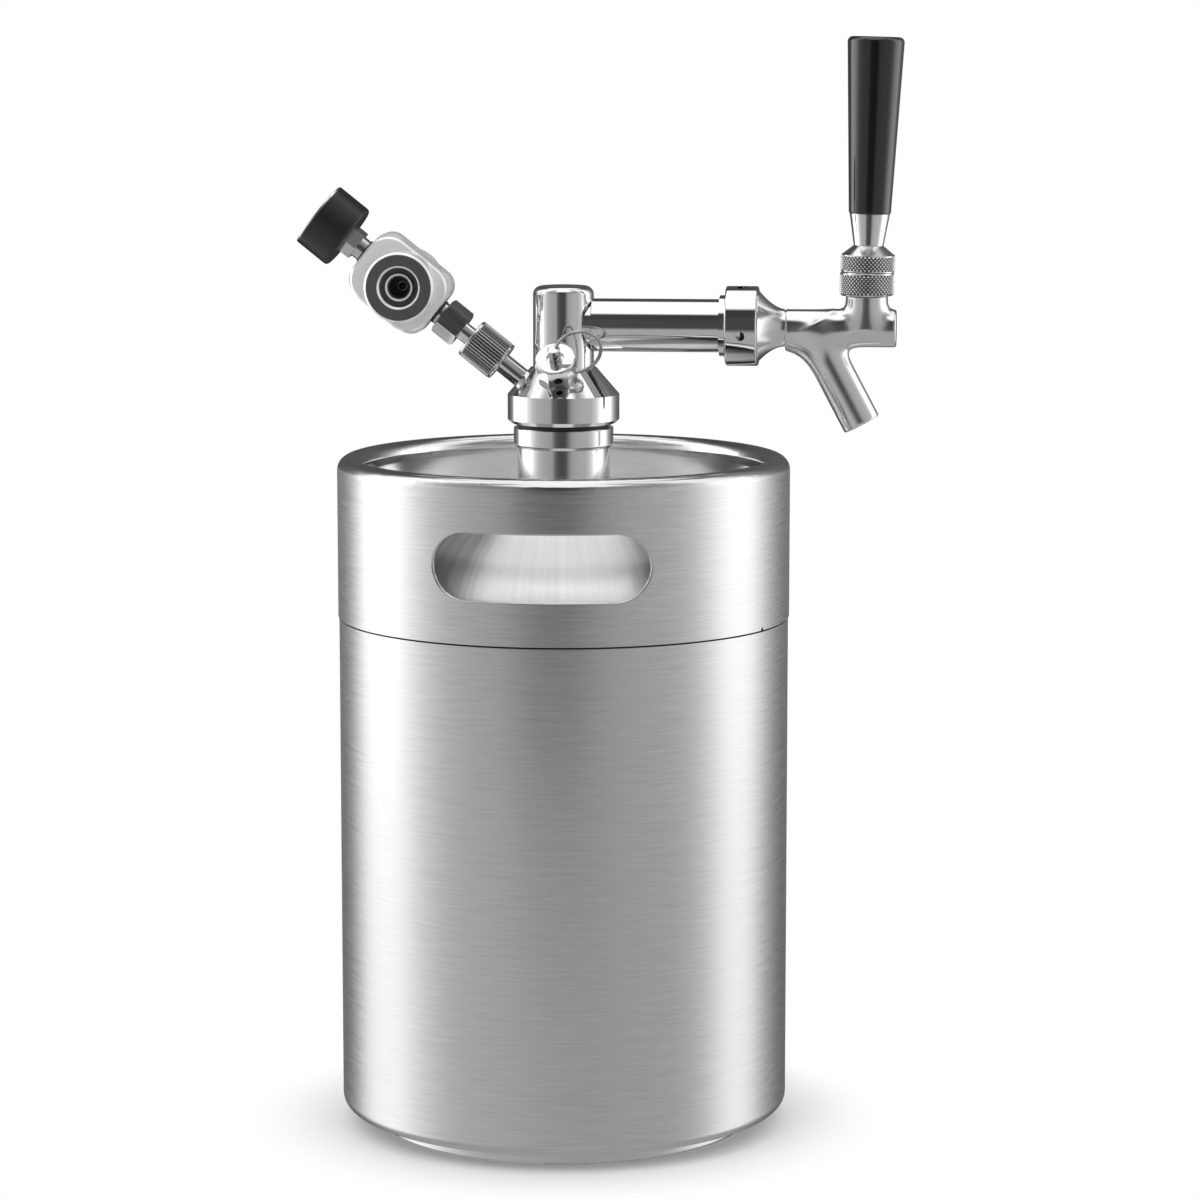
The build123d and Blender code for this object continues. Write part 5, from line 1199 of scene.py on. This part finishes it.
def makeCastForm(spec):
    # Every surface is a distance from it, and blends take the smooth lesser of two distances
    names = [f"Grid {axis}" for axis in "XYZ"]
    takes = [(name, "NodeSocketInt", 100) for name in names]
    takes += [(name, "NodeSocketFloat", value) for name, value in spec["form"].items()]
    tree, into = newTree("castForm", takes)
    here = addNode(tree, "GeometryNodeInputPosition").outputs[0]
    x, y, z = addNode(tree, "ShaderNodeSeparateXYZ", {0: here}).outputs

    def do(operation, *values):
        return sums(tree, operation, *values)

    def far(first, second):
        return do("SQRT", do("ADD", do("MULTIPLY", first, first), do("MULTIPLY", second, second)))

    def both(first, second, rounding):
        first, second = do("ADD", first, rounding), do("ADD", second, rounding)
        outside = far(do("MAXIMUM", first, 0.0), do("MAXIMUM", second, 0.0))
        inside = do("MINIMUM", do("MAXIMUM", first, second), 0.0)
        return do("SUBTRACT", do("ADD", outside, inside), rounding)

    def fold(operation, first, *others):
        for other in others:
            first = do(operation, first, other)
        return first

    slope = radians(spec["slope"])
    mouthX, mouthZ = spec["mouth"]
    px, pz = do("SUBTRACT", x, mouthX), do("SUBTRACT", z, mouthZ)
    across = do("ADD", do("MULTIPLY", px, sin(slope)), do("MULTIPLY", pz, cos(slope)))
    along = do("ADD", do("MULTIPLY", px, -cos(slope)), do("MULTIPLY", pz, sin(slope)))
    barrel = do("SUBTRACT", far(y, do("SUBTRACT", z, into["Barrel Height"])), into["Barrel Radius"])
    barrel = both(barrel, do("SUBTRACT", x, into["Barrel End"]), into["End Rounding"])
    boss = do("SUBTRACT", far(do("SUBTRACT", x, into["Boss Place"]), y), into["Boss Radius"])
    boss = do("MAXIMUM", boss, do("SUBTRACT", into["Barrel Height"], z))
    wide = do("DIVIDE", do("ADD", across, into["Leg Aside"]), into["Leg Width"])
    leg = far(wide, do("DIVIDE", y, into["Leg Thickness"]))
    leg = do("MULTIPLY", do("SUBTRACT", leg, 1.0), into["Leg Thickness"])
    leg = do("MAXIMUM", leg, do("SUBTRACT", along, into["Leg End"]))
    past = do("MAXIMUM", do("SUBTRACT", along, spec["rear"]["bend"]), 0.0)
    arc = far(do("ADD", do("ADD", across, spec["rear"]["aside"]), into["Web Arc"]), past)
    web = do("MAXIMUM", do("SUBTRACT", into["Web Arc"], arc), do("SUBTRACT", across, into["Web Front"]))
    web = do("MAXIMUM", web, do("SUBTRACT", z, into["Web Top"]))
    web = both(web, do("SUBTRACT", do("ABSOLUTE", y), into["Web Half"]), into["Web Rounding"])
    form = do("SMOOTH_MIN", leg, web, into["Web Blend"])
    form = do("SMOOTH_MIN", form, barrel, into["Leg Blend"])
    form = do("SMOOTH_MIN", form, boss, into["Boss Blend"])
    form = fold(
        "MAXIMUM", form, do("SUBTRACT", into["Barrel Start"], x), do("SUBTRACT", z, into["Boss Top"]),
        do("MULTIPLY", along, -1.0), do("SUBTRACT", x, into["Barrel End"]),
    )
    bore, spout, pocket, slot = (spec[k] for k in ("bore", "spoutBore", "pocket", "slot"))
    fromBore = far(y, do("SUBTRACT", z, bore["height"]))
    fromSpout = far(y, across)
    fromStem = far(do("SUBTRACT", x, into["Boss Place"]), y)
    aside = do("ABSOLUTE", do("SUBTRACT", x, slot["middle"]))
    aside = do("MAXIMUM", do("SUBTRACT", aside, slot["straight"]), 0.0)
    fromBall = far(fromStem, do("SUBTRACT", z, pocket["height"]))

    def drilled(distance, radius, depth):
        return do("MAXIMUM", do("SUBTRACT", distance, radius), depth)

    hollow = fold(
        "MINIMUM",
        drilled(fromBore, bore["rear"], do("SUBTRACT", x, bore["step"])),
        drilled(fromBore, bore["front"], do("SUBTRACT", x, bore["end"])),
        drilled(fromSpout, spout["wide"], do("SUBTRACT", along, spout["deep"])),
        drilled(fromSpout, spout["narrow"], do("SUBTRACT", along, spout["end"])),
        do("SUBTRACT", fromBall, pocket["radius"]),
        drilled(fromStem, pocket["seal"], do("SUBTRACT", pocket["sealFloor"], z)),
        drilled(far(aside, y), slot["half"], do("SUBTRACT", bore["height"], z)),
    )
    form = do("MAXIMUM", form, do("MULTIPLY", hollow, -1.0))
    level = 2.0  # density at the surface, above the empty background
    box = {"Background": -10.0, "Min": spec["low"], "Max": spec["high"]}
    cloud = addNode(tree, "GeometryNodeVolumeCube", {"Density": do("SUBTRACT", level, form), **box})
    for name in names:
        tree.links.new(into[name], cloud.inputs[name.replace("Grid", "Resolution")])
    skin = addNode(tree, "GeometryNodeVolumeToMesh", {"Volume": cloud.outputs[0], "Threshold": level})
    small = addNode(tree, "GeometryNodeTransform", {"Geometry": skin.outputs[0], "Scale": (mm, mm, mm)})
    return closeTree(tree, into, small.outputs[0])


def makeCasting(spec):
    finish = finishes["satin_chrome"]
    points = [int((high - low) / spec["grid"]) for low, high in zip(spec["low"], spec["high"])]
    sizes = dict(zip(("Grid X", "Grid Y", "Grid Z"), points))
    mesh = runTree(makeCastForm(spec), finish, **sizes, **spec["form"])
    mesh = tidyMesh(mesh, Matrix.Identity(4), sharp=60, merge=0.0000001)
    piece = newPiece("faucet_casting", mesh, finish)
    plainCopy(piece, ("SMOOTH", {"factor": 0.5, "iterations": spec["passes"]}))
    handOver(piece, "head", "satin_chrome", "faucet_body")


makeCasting(casting)

flare = {
    "segments": 128,
    "collar": [(5.9, 69.14), (12.9, 69.14, 0.2), (12.9, 74.05)],
    "from": (74.1, 13.2),  # place along the arm, and radius
    "to": (83.6, 7.1),
    "hollow": 1.75,
    "points": 16,
    "inside": [(6.7, 83.62), (6.7, 84.2), (5.2, 84.2), (5.2, 72.2), (3.4, 72.2), (3.4, 70.7), (5.9, 70.7)],
    "drop": 0.6,  # the casting's axis lies this far below the arm's
}


def makeFlare(spec):
    (start, wide), (end, slim) = spec["from"], spec["to"]
    curve = []
    for n in range(spec["points"] + 1):
        share = n / spec["points"]
        curve.append((slim + (wide - slim) * (1 - share) ** spec["hollow"], start + (end - start) * share))
    turned = {**spec, "outline": [*spec["collar"], *curve, *spec["inside"]]}
    piece = turnedPiece("faucet_flare", turned, armLine, "head", "faucet_body", replace=False)
    for vertex in piece.data.vertices:
        share = (vertex.co.x / mm - start) / (end - start)
        vertex.co.z -= min(1.0, max(0.0, share)) * spec["drop"] * mm


makeFlare(flare)
print("faucet is cast")

dial = {
    "start": 225.0,  # degrees, where the scale's zero stands
    "sweep": -270.0,
    "height": 114.70,  # along the gas line, in millimetres as the sizes below
    "minor": {"count": 31, "radius": 10.6, "size": (0.9, 0.16, 0.06)},
    "major": {"count": 7, "radius": 10.3, "size": (1.6, 0.32, 0.08)},
    "numbers": ("0", "20", "40", "60"),
    "numberSize": 2.4,
    "numberRadius": 7.6,
    "numberThick": 0.03,  # to each side of its middle
    "numberHeight": 114.74,
}


def makeDial(spec):
    ink = finishes["black_enamel"]
    for name in ("minor", "major"):
        marks = spec[name]
        values = {
            "Count": marks["count"], "Start": radians(spec["start"]), "Sweep": radians(spec["sweep"]),
            "Radius": marks["radius"] * mm, "Height": (spec["height"] + marks["size"][2] / 2) * mm,
            "Size": tuple(v * mm for v in marks["size"]),
        }
        patternPiece(f"dial_{name}_marks", ticks, values, gasLine, "regulator", "black_enamel")
    for n, label in enumerate(spec["numbers"]):
        letters = bpy.data.curves.new("number", "FONT")
        letters.body = label
        letters.size = spec["numberSize"] * mm
        letters.align_x = "CENTER"
        letters.align_y = "CENTER"
        letters.extrude = spec["numberThick"] * mm
        sign = bpy.data.objects.new("number", letters)
        scene.collection.objects.link(sign)
        mesh = bpy.data.meshes.new_from_object(sign.evaluated_get(bpy.context.evaluated_depsgraph_get()))
        bpy.data.objects.remove(sign)
        turn = radians(spec["start"] + spec["sweep"] * n / (len(spec["numbers"]) - 1))
        place = Vector((cos(turn), sin(turn), 0)) * spec["numberRadius"]
        place.z = spec["numberHeight"]
        # A reader of the dial looks back along the gas line, with the dial's x pointing up
        line = gasLine @ Matrix.Translation(place * mm) @ Matrix.Rotation(-pi / 2, 4, "Z")
        handOver(newPiece(f"dial_number_{label}", tidyMesh(mesh, line), ink), "regulator", "black_enamel")


makeDial(dial)
print("dial is marked")
